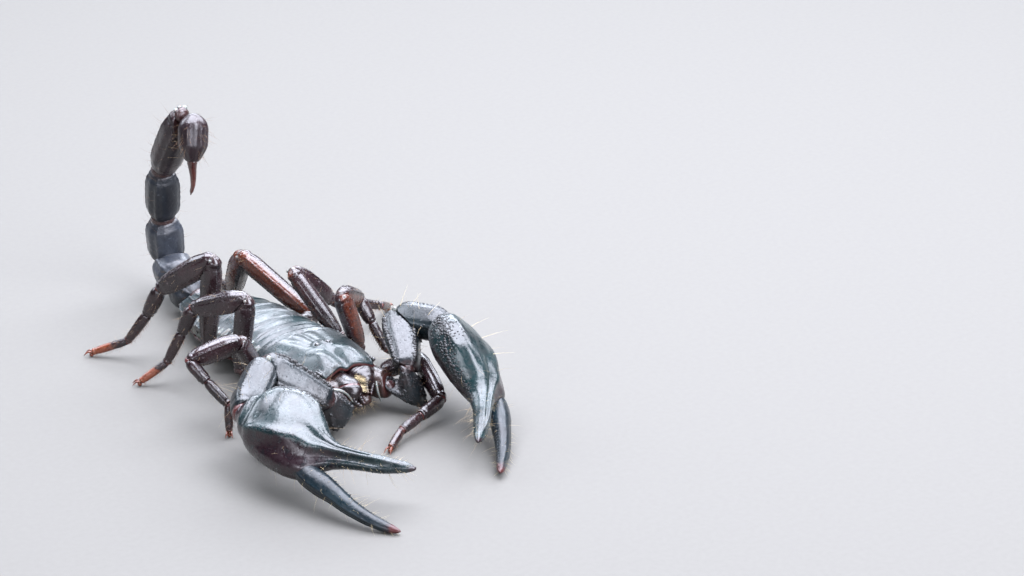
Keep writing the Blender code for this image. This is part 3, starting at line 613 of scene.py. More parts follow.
def tergite_at(U, V, near, far, last):
    y0 = near + (far - near) * V
    y = y0 + 0.35 * (np.clip(np.abs(U), 0, 1) ** 2 - 0.35) * (0.2 if last else 1)
    over = np.clip(np.abs(U) - 1, 0, None) / 0.10
    u = np.clip(U, -1, 1)
    width = curve(BACK_HALF_WIDTHS, y)
    x = width * np.sin(u * np.pi / 2 * 0.9) / math.sin(math.pi / 2 * 0.9)
    crown = curve(BACK_CROWN, y)
    z = BACK_RIM + (crown - BACK_RIM) * (1 - np.abs(x / width) ** 2.5)
    x = x + np.sign(U) * (0.10 * np.sin(over * np.pi * 0.6) - 0.2 * over**2)
    z = z - 0.8 * over
    return x, y, z


TERGITE_BUILDS = []
for number, (near, far) in enumerate(TERGITES, 1):
    last = number == 7
    U, V = grid(int(22 + (far - near) * 8.6), 170, -1.10, 1.10, -0.55 / (far - near), 1 + (0.0 if last else 0.62 / (far - near)))
    x, y, z = tergite_at(U, V, near, far, last)
    s = V * (far - near)  # millimetres back from the front edge
    length = far - near
    z = z - 0.46 * (1 - smooth(s, -0.5, min(1.6, length * 0.8))) + 0.10 * smooth(s, length - 1.4, length + 0.2)
    z = z + 0.10 * bump(s - (length + (-0.25 if last else 0.35)), 0.22) - 0.08 * bump(s - (length - 0.35), 0.25)
    z = z - 0.10 * bump(s - 0.55, 0.2) * (number > 1)
    z = z + 0.10 * bump(np.abs(U) - 0.965, 0.03) - 0.14 * bump(np.abs(U) - 0.84, 0.07) * smooth(s, 0.4, 1.4)
    z = z + 0.06 * bump(x, 1.1) - 0.03 * bump(np.abs(x) - 2.1, 0.7)
    if last:
        for kx in (2.1, 4.3):
            z = z + 0.22 * bump(np.abs(x) - kx * curve(BACK_HALF_WIDTHS, y) / 7.7, 0.22) * smooth(s, 1.0, 2.2)
    P = trunk(np.stack([x, y, z], -1))
    N = grid_normals(P, False)
    N = N if N[..., 2].mean() > 0 else -N
    P = P + N * (noise(P, 3.0, number, 3) * 0.008 + noise(P, 0.7, number + 3, 2) * 0.003)[..., None]
    body = Build()
    zone = np.clip(smooth(np.abs(U), 0.84, 1.02) + 0.7 * smooth(s, length - 0.1, length + 0.5) * (not last), 0, 1)
    skin = plate(body, P, np.full(U.shape, 0.24), 0.07, zone=zone)
    count = int(90 + length * 30)
    t = rng.uniform(0.35, 0.93, count)
    a = rng.uniform(0.45, 0.97, count) * rng.choice([-1, 1], count)
    grains(body, skin, t, a, rng.uniform(0.035, 0.07, count), 0.55)
    if last:
        for kx in (2.1, 4.3):
            for sign in (1, -1):
                m = 16
                tt = np.linspace(0.3, 0.93, m)
                grains(body, skin, tt, np.full(m, sign * math.asin(min(1, kx / 7.7 * 0.988)) / (np.pi / 2 * 0.9) / 1.1), rng.uniform(0.12, 0.17, m), 0.8)
    TERGITE_BUILDS.append(body)

# -- underside

def belly_at(U, V):
    y = BELLY_SPAN[0] + (BELLY_SPAN[1] - BELLY_SPAN[0]) * V
    width = curve(BACK_HALF_WIDTHS, y) - 0.35
    x = width * np.sin(U * np.pi / 2 * 0.9) / math.sin(math.pi / 2 * 0.9)
    low = curve(BELLY_FLOOR, y)
    return x, y, low + 1.7 * np.abs(x / width) ** 3


BELLY_SPAN = (1.9, 33.4)
U, V = grid(210, 100)
x, y, z = belly_at(U, V)
for edge in (8.2, 13.2, 18.3, 23.2, 28.0):
    z = z + 0.34 * smooth(y, edge - 0.1, edge + 0.25) * (1 - smooth(y, edge + 0.6, edge + 3.4)) - 0.12 * bump(y - edge + 0.35, 0.3)
for spot in (11.0, 16.0, 21.0, 25.8):
    for sign in (1, -1):
        d = np.hypot((x - sign * 4.6) * 0.55, y - spot - 0.12 * (x - sign * 4.6) * sign)
        z = z + 0.30 * bump(d, 0.26) - 0.10 * bump(d - 0.5, 0.16)
for kx in (1.6, 3.6):
    z = z - 0.16 * bump(np.abs(x) - kx, 0.22) * smooth(y, 29.0, 30.0)
P = trunk(np.stack([x, y, z], -1))
BELLY = Build()
skin = plate(BELLY, P, np.full(U.shape, 0.4), 0.15, zone=np.clip(smooth(np.abs(U), 0.85, 1.0), 0, 1), up=(0, 0, -1))
t, a = rng.uniform(0.1, 0.95, 120), rng.uniform(-0.9, 0.9, 120)
hairs("short", skin, t, a, 0.8, 0.02, 0.7)

COXAE = Build()
U, V = grid(150, 126)
y = -18.2 + 19.7 * V
width = curve(((-18.2, 5.0), (-14.0, 6.9), (-9.0, 8.0), (1.5, 8.6)), y)
x = width * U
z = 1.9 + 0.9 * np.abs(U) ** 3 + 0.8 * smooth(-y, 13, 18)
z = z + 0.34 * bump(x, 0.16) * (1 - bump(np.hypot(x, (y + 3.2) * 0.7), 1.7))
for k in range(4):
    seam = -1.6 - 3.9 * k - np.abs(x) * (0.12 + 0.16 * k) + 0.8
    z = z + 0.40 * bump(y - seam, 0.17)
    z = z - 0.10 * bump(y - seam - 0.9, 0.6)
z = z - 0.30 * (np.hypot(x, (y + 2.4) * 0.75) < 1.5) * 1.0
P = trunk(np.stack([x, y, z], -1))
plate(COXAE, P, np.full(U.shape, 0.6), 0.2, zone=0.25, up=(0, 0, -1))
hip_skins = {}
for (number, side), joints in LEGS.items():
    k, sign = LEG_SCALE[number], SIDES[side]
    hip = V3(*joints[0])
    root = V3(sign * 4.2, hip[1] * 0.72 - 0.6, 3.7)
    if number == 1:
        root = V3(sign * 4.4, -11.6, 3.7)
    knee = V3(*joints[1])
    back = unit(hip - root)
    end = hip - back * 0.3
    s = rod(COXAE, root, end, (0, 0, 1), ((0, 1.5 * k, 1.5 * k), (0.6, 1.75 * k, 1.75 * k), (1, 1.6 * k, 1.6 * k)), power=2.3, overrun=(0.0, 0.15), around=44, fine=0.2,
            relief=lambda T, A, P: noise(P, 1.5, 3, 3) * 0.06 + 0.16 * bump(T - 0.93, 0.03) - 0.12 * bump(T - 0.84, 0.035), zone=lambda T, A, P: smooth(T, 0.6, 1.0) * 0.7)
    t, a = scatter(90, 0.35, 0.9)
    grains(COXAE, s, t, a, rng.uniform(0.06, 0.12, 90), 0.7)
    hairs("short", s, *scatter(14, 0.4, 0.9), 1.1, 0.022, 0.4)

for sign in (1, -1):
    s = rod(COXAE, trunk((sign * 1.6, -13.6, 2.7)), trunk((sign * 1.5, -20.9, 2.2)), (1, 0, 0), ((0, 1.4, 1.2), (0.6, 1.45, 1.2), (1, 1.15, 1.0)), power=2.4, overrun=(0.0, 0.4), around=64, fine=0.1,
            relief=lambda T, A, P: noise(P, 1.4, 29, 3) * 0.05, zone=lambda T, A, P: 0.3 * smooth(T, 0.5, 1.0))
    hairs("short", s, *scatter(60, 0.55, 1.0, 0.0, np.pi), 1.7, 0.022, 0.3, toward=(0.3, -1, 0.0), tone=0.45)

# -- jaws

def relief_mix(*parts):
    return lambda T, A, P: sum(part(T, A, P) for part in parts)


CHELICERAE = {}
for side, sign in SIDES.items():
    body = Build()
    far, mid_x, low = (-19.8, 2.55, 5.5) if sign > 0 else (-21.9, -1.5, 4.75)
    start, end = trunk((sign * 2.3, -13.7, 5.5)), trunk((mid_x, far, low))
    furrow = (lambda A: 0.70 + 0.06 * np.sin(A + 0.6)) if sign > 0 else (lambda A: 0.955 - 0.15 * (np.minimum(0, A + 1.2) / 1.27) ** 2)
    s = rod(body, start, end, (1, 0, 0), ((0, 1.9, 1.7), (0.45, 2.4, 2.25), (0.8, 2.35, 2.15), (1, 1.8, 1.65)), power=2.35, overrun=(0.0, 0.5), around=80, fine=0.08,
            relief=lambda T, A, P, f=furrow: noise(P, 2.4, 4, 2) * 0.05 - 0.17 * bump(T - f(A), 0.026) + 0.11 * bump(T - f(A) - 0.07, 0.04),
            zone=lambda T, A, P, f=furrow, m=(0.45 if sign > 0 else 1.0): np.clip(m * bump(T - f(A), 0.034) + 0.35 * smooth(T, 0.98, 1.12), 0, 1))
    SKINS["jaw " + side] = s
    t, a = scatter(26, 0.35, 0.75)
    grains(body, s, t, a, rng.uniform(0.03, 0.05, 26), 0.5)
    # the brush of pale setae on the inner and upper sides
    n = 84 if sign > 0 else 40
    t = rng.uniform(0.80, 1.05, n) if sign > 0 else rng.uniform(0.9, 1.05, n)
    a = (-2.72 if sign > 0 else -0.25) + rng.normal(0, 0.13, n)
    hairs("short", s, t, a, 1.35 if sign > 0 else 0.9, 0.026, 0.9, toward=(0.67, -0.62, -0.22), tone=1.0)
    for fixed in (True, False):
        base = trunk((mid_x + sign * (-0.55 if fixed else 0.8), far - 0.2, low - (0.3 if fixed else 0.9)))
        tip = trunk((mid_x - sign * (0.95 if fixed else 0.35), far - 1.4, low - (1.8 if fixed else 2.2)))
        rod(body, base, tip, (1, 0, 0), ((0, 0.62, 0.8), (0.5, 0.48, 0.6), (0.85, 0.28, 0.32), (1, 0.10, 0.12)), power=2.2, overrun=(0.4, 0.3), around=32, fine=0.08, bow=0.35,
            relief=lambda T, A, P: 0.10 * bump(np.abs(A + np.pi / 2), 0.5) * (np.sin(T * 22) > 0.2), zone=lambda T, A, P: 0.1 + 0.4 * smooth(T, 0.3, 1.0))
    CHELICERAE[side] = body

# -- combs under the trunk

PECTINES = {}
for side, sign in SIDES.items():
    body = Build()
    a0, a1 = trunk((sign * 1.6, 4.4, 1.25)), trunk((sign * 7.0, 6.6, 1.35))
    rod(body, a0, a1, (0, 0, 1), ((0, 0.24, 0.55), (0.4, 0.24, 0.7), (1, 0.2, 0.4)), power=3, overrun=(0.2, 0.2), around=28, fine=0.12, relief=lambda T, A, P: -0.05 * (np.sin(T * 40) > 0.7))
    ahead = unit(a1 - a0)
    back = unit(np.cross(ahead, V3(0, 0, 1)) * sign)
    back = back if back[1] > 0 else -back
    for i in range(15):
        p = a0 + (a1 - a0) * (0.06 + 0.9 * i / 14) + back * 0.45
        rod(body, p, p + back * (1.05 - 0.35 * i / 14), ahead, ((0, 0.15, 0.17), (0.6, 0.17, 0.2), (1, 0.12, 0.14)), power=2.2, overrun=(0.3, 0.6), around=14, fine=0.2, tone=0.0, zone=0.8)
    PECTINES[side] = body

# -- tail

def tail_relief(half, keels, height, width=0.13):
    """Ridges along the segment at these angles, with a groove each side."""
    def relief(T, A, P):
        fade = smooth(T, 0.06, 0.2) * (1 - smooth(T, 0.86, 0.97))
        out = noise(P, 1.8, 5, 3) * 0.025 + noise(P, 4.0, 6, 2) * 0.05
        for angle in keels:
            d = (A - angle + np.pi) % (2 * np.pi) - np.pi
            out = out + fade * height * (bump(d, width) - 0.30 * bump(np.abs(d) - 0.30, 0.16)) * (0.85 + 0.15 * np.sin(T * 46))
        out = out + 0.16 * bump(T - 0.95, 0.035) - 0.14 * bump(T - 0.885, 0.03) + 0.10 * bump(T - 0.055, 0.03) - 0.10 * bump(T - 0.12, 0.03)
        return out
    return relief


TAIL = []
joints = [V3(*j) for j in TAIL_JOINTS] + [VESICLE_END]
TAIL_KEELS = (0.62, np.pi - 0.62, 0.05, np.pi - 0.05, -0.72, -np.pi + 0.72, -1.25, -np.pi + 1.25)
for i, (half_side, half_up) in enumerate(TAIL_HALVES):
    end = TAIL_ENDS[i]
    taper = ((0, 0.78 * half_side, 0.80 * half_up), (0.3, 0.99 * half_side, 0.98 * half_up), (0.65, (1.0 if i < 4 else 0.93) * half_side, half_up), (1, end * half_side, (end + 0.04) * half_up))
    cuts = [joint_cut(joints[i], joints[i + 1], joints[i + 2], True, 0.05)]
    if i:
        cuts.append(joint_cut(joints[i - 1], joints[i], joints[i + 1], False, 0.05))
    body = Build()
    s = rod(body, joints[i], joints[i + 1], (1, 0, 0), taper, power=2.7, overrun=(0.12 if i else -0.05, 0.22), around=112, fine=0.11, cuts=cuts, blunt=2.2,
            relief=tail_relief(half_side, TAIL_KEELS, 0.17 if i < 4 else 0.15), zone=lambda T, A, P: np.clip(smooth(T, 0.86, 1.0) + (1 - smooth(T, 0.0, 0.12)), 0, 1))
    SKINS[f"ring {i + 1}"] = s
    length = np.linalg.norm(joints[i + 1] - joints[i])
    t, a = keel_places(TAIL_KEELS[:4] if i < 4 else TAIL_KEELS, 0.14, 0.90, 0.42, length, 0.06, 0.02)
    grains(body, s, t, a, rng.uniform(0.06, 0.11, len(t)), 0.6)
    t, a = scatter(170 if i < 4 else 260, 0.12, 0.9)
    grains(body, s, t, a, rng.uniform(0.035, 0.07, len(t)), 0.6)
    t, a = keel_places(TAIL_KEELS, 0.2, 0.88, 2.0, length, 0.3, 0.08)
    hairs("long", s, t, a, 1.9 if i < 4 else 2.4, 0.022, 0.25, tone=0.2)
    TAIL.append(body)

ASIDE, ALOFT = V3(0.812, -0.583, -0.014), V3(0.242, 0.315, 0.918)
for t, a, length, rise in ((0.53, 2.61, 3.4, 0.10), (0.42, 2.22, 3.7, 0.0), (0.70, 2.38, 2.0, 0.08), (0.78, 2.66, 2.3, 0.05), (0.82, 3.11, 1.8, 0.3), (0.60, 2.50, 2.4, -0.15)):
    strand(SKINS["ring 5"], t, a, ASIDE + ALOFT * rise, length, (0.25, 0.0, -0.25), 0.032, 0.42)
for k, t, a, length in ((2, 0.30, 3.0, 2.4), (2, 0.62, 2.9, 2.2), (3, 0.4, 2.9, 2.6), (3, 0.75, 3.0, 2.3), (4, 0.35, 2.9, 2.6), (4, 0.7, 2.9, 2.4), (2, 0.5, 0.2, 2.3), (3, 0.55, 0.2, 2.5), (4, 0.5, 0.2, 2.4)):
    strand(SKINS[f"ring {k}"], t, a, ASIDE * (1 if a > 1 else -1) + ALOFT * 0.12, length, (0.0, 0.2, -0.3), 0.030, 0.6)

wide, tall = VESICLE_HALVES
vs = V3(*VESICLE_START)
VESICLE = Build()

def vesicle_relief(T, A, P):
    out = noise(P, 1.6, 7, 3) * 0.025
    for angle in (0.35, 1.0, np.pi - 0.35, np.pi - 1.0, -0.45, -1.05, -np.pi + 0.45, -np.pi + 1.05, np.pi / 2, -np.pi / 2):
        d = (A - angle + np.pi) % (2 * np.pi) - np.pi
        out = out - 0.11 * bump(d, 0.13) * smooth(T, 0.1, 0.3) * (1 - smooth(T, 0.8, 0.97))
    return out


s = rod(VESICLE, vs, VESICLE_END, (1, 0, 0), ((0, 0.62 * wide, 0.62 * tall), (0.3, wide, 0.95 * tall), (0.6, 0.97 * wide, tall), (0.85, 0.62 * wide, 0.66 * tall), (1, 0.34 * wide, 0.36 * tall)),
        power=2.1, overrun=(0.1, 0.0), around=96, fine=0.1, relief=vesicle_relief, cuts=[joint_cut(joints[4], joints[5], joints[6], False, 0.12)],
        zone=lambda T, A, P: np.clip(smooth(T, 0.78, 1.02), 0, 1))
t, a = scatter(150, 0.12, 0.92)
grains(VESICLE, s, t, a, rng.uniform(0.04, 0.09, 150), 0.6)
t, a = scatter(64, 0.1, 0.97)
hairs("long", s, t, a, 1.9, 0.022, 0.35, tone=0.25)
STING = Build()
barb, root = STING_TIP, VESICLE_END
heading = unit(root - vs)
tt = np.linspace(-0.12, 0.985, 90)
line = root + (barb - root) * tt[:, None] + V3(0, -1, 0) * (0.4 * np.sin(np.pi * np.clip(tt, 0, 1)))[:, None] + V3(0, 0.55, 0) * (smooth(tt, 0.6, 1.0) * 0.8)[:, None]
tangent = unit(np.gradient(line, axis=0))
_, sd, up = frame_of(tangent, (1, 0, 0))
rad = 0.30 + (0.95 - 0.30) * (1 - np.clip(tt, 0, 1) ** 0.62)
rad = rad * (1 - smooth(tt, 0.85, 1.0) * 0.72)
loft(STING, line, sd, up, rad, rad, tt, 2.0, 48, lambda T, A, P: noise(P, 0.8, 8, 2) * 0.02, zone=lambda T, A, P: smooth(T, 0.05, 0.7))

# -- pedipalps

COXAL_RIM_HIGHLIGHTS = Build()

def corner_keels(T, A, keels, height, width=0.12, start=0.06, end=0.94):
    fade = smooth(T, start - 0.05, start + 0.1) * (1 - smooth(T, end - 0.1, end + 0.04))
    out = 0.0
    for angle in keels:
        d = (A - angle + np.pi) % (2 * np.pi) - np.pi
        out = out + fade * height * (bump(d, width) - 0.4 * bump(np.abs(d) - 0.26, 0.12))
    return out


PALPS = {}
HAND_SKINS = {}
for side, sign in SIDES.items():
    coxa_end, knuckle, elbow, wrist = [V3(*p) for p in ARMS[side]]
    forward, outer = unit(HAND_AXES[side][0]), unit(HAND_AXES[side][1])
    outer = unit(outer - forward * np.dot(outer, forward))
    dorsal = np.cross(forward, outer) * sign
    fold = unit(np.cross(knuckle - elbow, wrist - elbow))
    fold = fold if fold[2] > 0 else -fold
    coxa_root = V3(sign * 3.9, -14.5, 5.0)
    hand_far = wrist + forward * 10

    # coxa, part of the underside piece
    s = rod(COXAE, coxa_root, coxa_end, (1, 0, 0), ((0, 2.2, 2.1), (0.6, 2.5, 2.6), (1, 2.4, 2.6)), overrun=(0.4, 0.3), around=72, fine=0.11, cuts=[joint_cut(coxa_root, coxa_end, knuckle, True, 0.1)],
            relief=lambda T, A, P: noise(P, 1.6, 9, 3) * 0.06 + 0.15 * bump(T - 0.97, 0.04) - 0.13 * bump(T - 0.87, 0.04), zone=lambda T, A, P: smooth(T, 0.88, 1.0))
    t, a = scatter(90, 0.3, 0.95)
    grains(COXAE, s, t, a, rng.uniform(0.05, 0.10, 90), 0.6)
    hairs("short", s, *scatter(46, 0.4, 1.0, -np.pi, 0.2), 1.5, 0.024, 0.4, toward=(-sign * 0.6, -1, -0.2))

    # a pale rim along each pedipalp coxa's edge, in membrane colour: a painted highlight on the glossy edge
    rim = np.linspace(0, 1, 60)
    if side == "left":
        line = V3(4.3, -19.6, 6.6) + (V3(4.0, -21.6, 2.6) - V3(4.3, -19.6, 6.6)) * rim[:, None] + V3(-0.55, -0.55, 0.15) * np.sin(np.pi * rim)[:, None]
    else:
        line = V3(-8.2, -22.4, 8.6) + (V3(-3.6, -24.2, 5.6) - V3(-8.2, -22.4, 8.6)) * rim[:, None] + V3(0.5, -0.4, 0.9) * np.sin(np.pi * rim)[:, None]
    _, sd, up = frame_of(unit(np.gradient(line, axis=0)), (0.3, 1, 0.2))
    wide_ = 0.30 * np.sin(np.pi * np.clip(rim * 0.94 + 0.03, 0, 1)) ** 0.5 + 0.04
    loft(COXAL_RIM_HIGHLIGHTS, line, sd, up, wide_, wide_ * 0.7, rim, 2.0, 20, lambda T, A, P: noise(P, 0.9, 30, 2) * 0.03, zone=lambda T, A, P: 0.25 + 0.0 * T, tone=0.0)

    troch = Build()
    s = rod(troch, coxa_end, knuckle, np.cross(fold, knuckle - coxa_end), ((0, 2.5, 2.5), (0.5, 3.0, 3.0), (1, 2.3, 2.4)), overrun=(0.2, 0.35), around=84, fine=0.1, sag=TROCHANTER_SAG[side],
            cuts=[joint_cut(coxa_root, coxa_end, knuckle, False, 0.1), joint_cut(coxa_end, knuckle, elbow, True, 0.1)],
            relief=lambda T, A, P: noise(P, 1.8, 10, 3) * 0.05 + corner_keels(T, A, (0.9, 2.2, -0.9, -2.2), 0.22, 0.16), zone=lambda T, A, P: np.clip(0.45 + 0.5 * noise(P, 3.0, 28, 2), 0, 0.8), tone=lambda T, A, P, v=(0.05 if side == "right" else 0.25): np.full(T.shape, v))
    length = np.linalg.norm(knuckle - coxa_end)
    t, a = keel_places((0.9, 2.2, -0.9, -2.2), 0.05, 0.95, 0.42, length, 0.08, 0.08)
    grains(troch, s, t, a, rng.uniform(0.2, 0.38, len(t)), 0.9)
    n = 260 if side == "right" else 560
    t, a = scatter(n, 0.0, 1.0)
    grains(troch, s, t, a, rng.uniform(0.07, 0.24, n), 0.8)
    hairs("short", s, *scatter(24, 0.1, 0.9), 1.2, 0.024, 0.4)

    femur = Build()
    KF = (0.80, np.pi - 0.80, -0.80, -np.pi + 0.80)
    axle, turn = unit(elbow - knuckle), math.radians(FEMUR_TWIST[side])
    face = fold * math.cos(turn) + np.cross(axle, fold) * math.sin(turn)
    s = rod(femur, knuckle, elbow, np.cross(face, elbow - knuckle), ((0, 2.2, 2.1), (0.3, 2.7, 2.45), (0.75, 3.35, 2.6), (1, 3.1, 2.4)), power=3.2, overrun=(0.4, 0.45), around=104, fine=0.1,
            cuts=[joint_cut(coxa_end, knuckle, elbow, False, 0.1), joint_cut(knuckle, elbow, wrist, True, 0.1)],
            relief=lambda T, A, P: noise(P, 2.2, 11, 3) * 0.035 + corner_keels(T, A, KF, 0.20, 0.10) + 0.14 * bump(T - 0.97, 0.025) - 0.16 * bump(T - 0.91, 0.03),
            zone=lambda T, A, P: np.clip(smooth(T, 0.93, 1.03) + 1 - smooth(T, 0.0, 0.06), 0, 1) * 0.8)
    length = np.linalg.norm(elbow - knuckle)
    for row in range(6):
        t, a = keel_places(KF, 0.03, 0.93, (0.60, 0.55, 0.5, 0.42, 0.38, 0.36)[row], length, 0.16, (0.07, 0.11, 0.15, 0.19, 0.23, 0.27)[row])
        grains(femur, s, t, a, rng.uniform(*((0.26, 0.44), (0.20, 0.36), (0.14, 0.28), (0.10, 0.22), (0.07, 0.16), (0.05, 0.13))[row], len(t)), 0.85)
    t, a = scatter(230, 0.05, 0.93)
    grains(femur, s, t, a, rng.uniform(0.05, 0.14, 230), 0.7)
    hairs("long", s, *keel_places(KF, 0.15, 0.9, 3.2, length, 0.3, 0.25), 3.2, 0.026, 0.2, tone=0.5)

    patella = Build()
    KP = (0.95, np.pi - 0.95, -0.75, -np.pi + 0.75)
    inner_angle = np.pi if side == "right" else np.pi
    s = rod(patella, elbow, wrist, np.cross(fold, wrist - elbow), ((0, 2.3, 2.3), (0.3, 3.0, 2.7), (0.7, 3.0, 2.8), (1, 2.3, 2.4)), power=2.8, overrun=(0.45, 0.35), around=104, fine=0.1,
            cuts=[joint_cut(knuckle, elbow, wrist, False, 0.1), joint_cut(elbow, wrist, hand_far, True, 0.35)],
            relief=lambda T, A, P: noise(P, 2.6, 12, 3) * 0.04 + corner_keels(T, A, KP, 0.12, 0.11) + 0.15 * bump(T - 0.965, 0.025) - 0.15 * bump(T - 0.905, 0.03),
            zone=lambda T, A, P: np.clip(smooth(T, 0.93, 1.03) + 1 - smooth(T, 0.0, 0.06), 0, 1) * 0.8)
    length = np.linalg.norm(wrist - elbow)
    for row in range(2):
        t, a = keel_places(KP[1:], 0.06, 0.92, 0.6, length, 0.16, 0.10)
        grains(patella, s, t, a, rng.uniform(0.08, 0.22, len(t)), 0.75)
    t, a = scatter(120, 0.05, 0.95)
    grains(patella, s, t, a, rng.uniform(0.04, 0.10, 120), 0.6)
    hairs("long", s, *scatter(16, 0.15, 0.9), 3.6, 0.026, 0.15, tone=0.5)
    SKINS["patella " + side] = s

    def palm(along, out):
        arch = np.sin(np.pi * np.clip(np.asarray(along, float) / FIXED_TIP, 0, 1))
        return wrist + forward * np.asarray(along)[..., None] + outer * (out + HAND_SWELL * arch)[..., None] + dorsal * (HAND_ARCH * arch)[..., None]

    OUT = ((-1.15, 0.9, -0.9, 0.9), (-0.7, 1.7, -1.7, 1.7), (0.0, 2.3, -2.3, 2.2), (2.4, 5.0, -4.7, 3.3), (5.0, 6.6, -6.6, 4.0), (8.4, 7.6, -7.3, 4.4), (12.4, 8.1, -6.1, 4.1),
           (15.4, 7.9, -3.4, 3.5), (17.6, 5.9, -1.2, 2.7), (20.2, 4.25, -0.1, 2.0), (23.5, 3.4, 0.0, 1.6), (27.5, 2.9, -0.2, 1.35), (31.0, 1.9, -0.2, 0.95), (32.6, 1.15, 0.1, 0.55), (33.15, 0.75, 0.3, 0.25))
    hand = Build()
    along = np.concatenate([np.linspace(-1.15, 0, 14), np.linspace(0, 33.15, 272)[1:]])
    o = curve(OUT, along)
    centres = palm(along, (o[:, 0] + o[:, 1]) / 2)
    digit = smooth(along, 15.5, 19.0)

    def ridge_at(x):
        return curve(((0, 0.70), (1.7, 0.77), (5.2, 1.08), (8.4, 1.19), (14, 1.41), (18, 1.54), (33, 1.62)), x)

    facet = 1.0 if side == "right" else 0.35

    def hand_relief(T, A, P, facet=facet):
        x = T * 33.15
        dg = smooth(x, 15.5, 19.0)
        out = noise(P, 2.4, 13, 3) * 0.035 + noise(P, 6.0, 14, 2) * 0.12 * (1 - dg)
        # the finger keel, and a weaker one below the outer edge
        def near(angle, width):
            d = (A - angle + np.pi) % (2 * np.pi) - np.pi
            return bump(d, width)
        ridge = ridge_at(x)
        out = out + (0.55 * (0.3 + 0.7 * facet) * near(ridge, 0.15) - facet * 0.42 * near(ridge - 0.55, 0.36) * smooth(x, 2, 6) - facet * 0.34 * near(ridge + 0.85, 0.45) * (1 - smooth(x, 9, 23)) * smooth(x, 2, 6)) * smooth(x, 0.8, 5.0) * (1 - smooth(x, 26, 31)) - 0.26 * near(ridge + 0.30, 0.13) * smooth(x, 9, 13) * (1 - smooth(x, 23, 28)) * (1 - 0.4 * dg)
        out = out + (1 - facet) * 0.75 * near(2.42, 0.27) * smooth(x, 1.5, 5) * (1 - smooth(x, 13, 18))
        out = out - 0.20 * near(ridge - 0.42, 0.22) * smooth(x, 4, 9) * (1 - smooth(x, 19, 24)) * (1 - 0.5 * dg)
        out = out + 0.16 * near(ridge + 0.62, 0.16) * smooth(x, 12, 16) * (1 - smooth(x, 24, 28)) * (1 - 0.4 * dg)
        out = out + 0.22 * near(-0.55, 0.10) * smooth(x, 2.0, 6.0) * (1 - smooth(x, 15, 18))
        out = out + 0.30 * near(np.pi - 0.3, 0.16) * smooth(x, 1.0, 4.0) * (1 - smooth(x, 12, 15))
        # lobes of the palm
        out = out + 0.05 * np.sin(A * 9 + noise(P, 5.0, 15, 1) * 2) * smooth(np.abs(A), 0.9, 1.3) * (1 - smooth(x, 13, 17)) * smooth(x, 2, 5)
        # small teeth along the inner edge of the fixed finger
        out = out + 0.14 * near(0.0, 0.22) * (0.5 + 0.5 * np.sin(x * 9.5)) * smooth(x, 18.5, 20.5) * (1 - smooth(x, 31.5, 32.8))
        out = out + 0.20 * bump(x - 1.1, 0.45) - 0.18 * bump(x - 2.3, 0.5)
        return out

    s = loft(hand, centres, outer, dorsal, (o[:, 0] - o[:, 1]) / 2, o[:, 2], along / 33.15, 2.3, 150, hand_relief, ends=(palm(-1.25, 0.0), palm(33.25, 0.5)), cuts=[joint_cut(elbow, wrist, hand_far, False, 0.35)],
             zone=lambda T, A, P: np.clip(0.95 * smooth(ridge_at(T * 33.15) - A, -0.02, 0.14) * smooth(A, -2.9, -2.4) * (1 - 0.75 * smooth(T, 0.42, 0.85)) + smooth(T, 0.95, 1.0) + (1 - smooth(T, 0.02, 0.05)), 0, 1))
    HAND_SKINS[side] = SKINS["hand " + side] = s
    # coarse dark grains along the inner edge, and fine ones over the lower side
    n = 820
    x = rng.uniform(1.6, 21.5, n)
    edge_at = np.pi - 0.15 + 0.55 * smooth(x, 9, 16)
    grains(hand, s, x / 33.15, edge_at + rng.normal(0, 0.22, n), rng.uniform(0.07, 0.25, n) * (1 - 0.45 * smooth(x, 14, 21)), 0.75)
    x = np.linspace(2.2, 20.5, 46)
    grains(hand, s, x / 33.15, np.pi - 0.15 + 0.55 * smooth(x, 9, 16) + rng.normal(0, 0.05, 46), rng.uniform(0.26, 0.40, 46) * (1 - 0.4 * smooth(x, 14, 21)), 0.8)
    n = 110
    x = rng.uniform(2.0, 15.0, n)
    grains(hand, s, x / 33.15, ridge_at(x) + rng.normal(0, 0.035, n), rng.uniform(0.06, 0.13, n), 0.55)
    n = 420
    x, a = rng.uniform(2.0, 17.0, n), rng.uniform(-2.8, 0.35, n)
    grains(hand, s, x / 33.15, a, rng.uniform(0.05, 0.14, n), 0.5, tone=0.55)
    n = 200
    x, a = rng.uniform(3.0, 30.0, n), rng.uniform(0.6, 2.6, n)
    grains(hand, s, x / 33.15, a, rng.uniform(0.03, 0.07, n), 0.5, tone=0.4)
    x = np.linspace(19.0, 32.0, 30)
    grains(hand, s, x / 33.15, rng.normal(0, 0.10, 30), np.where(np.arange(30) % 6 == 0, 0.24, 0.13), 0.9)
    hairs("long", s, rng.uniform(0.1, 0.95, 34), rng.uniform(-np.pi, np.pi, 34), 3.2, 0.024, 0.2, tone=0.45)
    hairs("short", s, rng.uniform(0.55, 0.98, 70), rng.uniform(-np.pi, np.pi, 70), 1.1, 0.022, 0.5, tone=0.6)

    def finger(a0, o0):
        c, sn = math.cos(FINGER_TURN[side]), math.sin(FINGER_TURN[side])
        aa, oo = a0 - FINGER_PIVOT[0], o0 - FINGER_PIVOT[1]
        a1, o1 = FINGER_PIVOT[0] + aa * c - oo * sn, FINGER_PIVOT[1] + aa * sn + oo * c
        fade = 1 - smooth(a0, 18.0, 34.0)
        swell = HAND_SWELL * (1 - fade) * np.sin(np.pi * np.minimum(1.0, a1 / FIXED_TIP))
        return palm(a1, o1) - outer * swell[..., None]

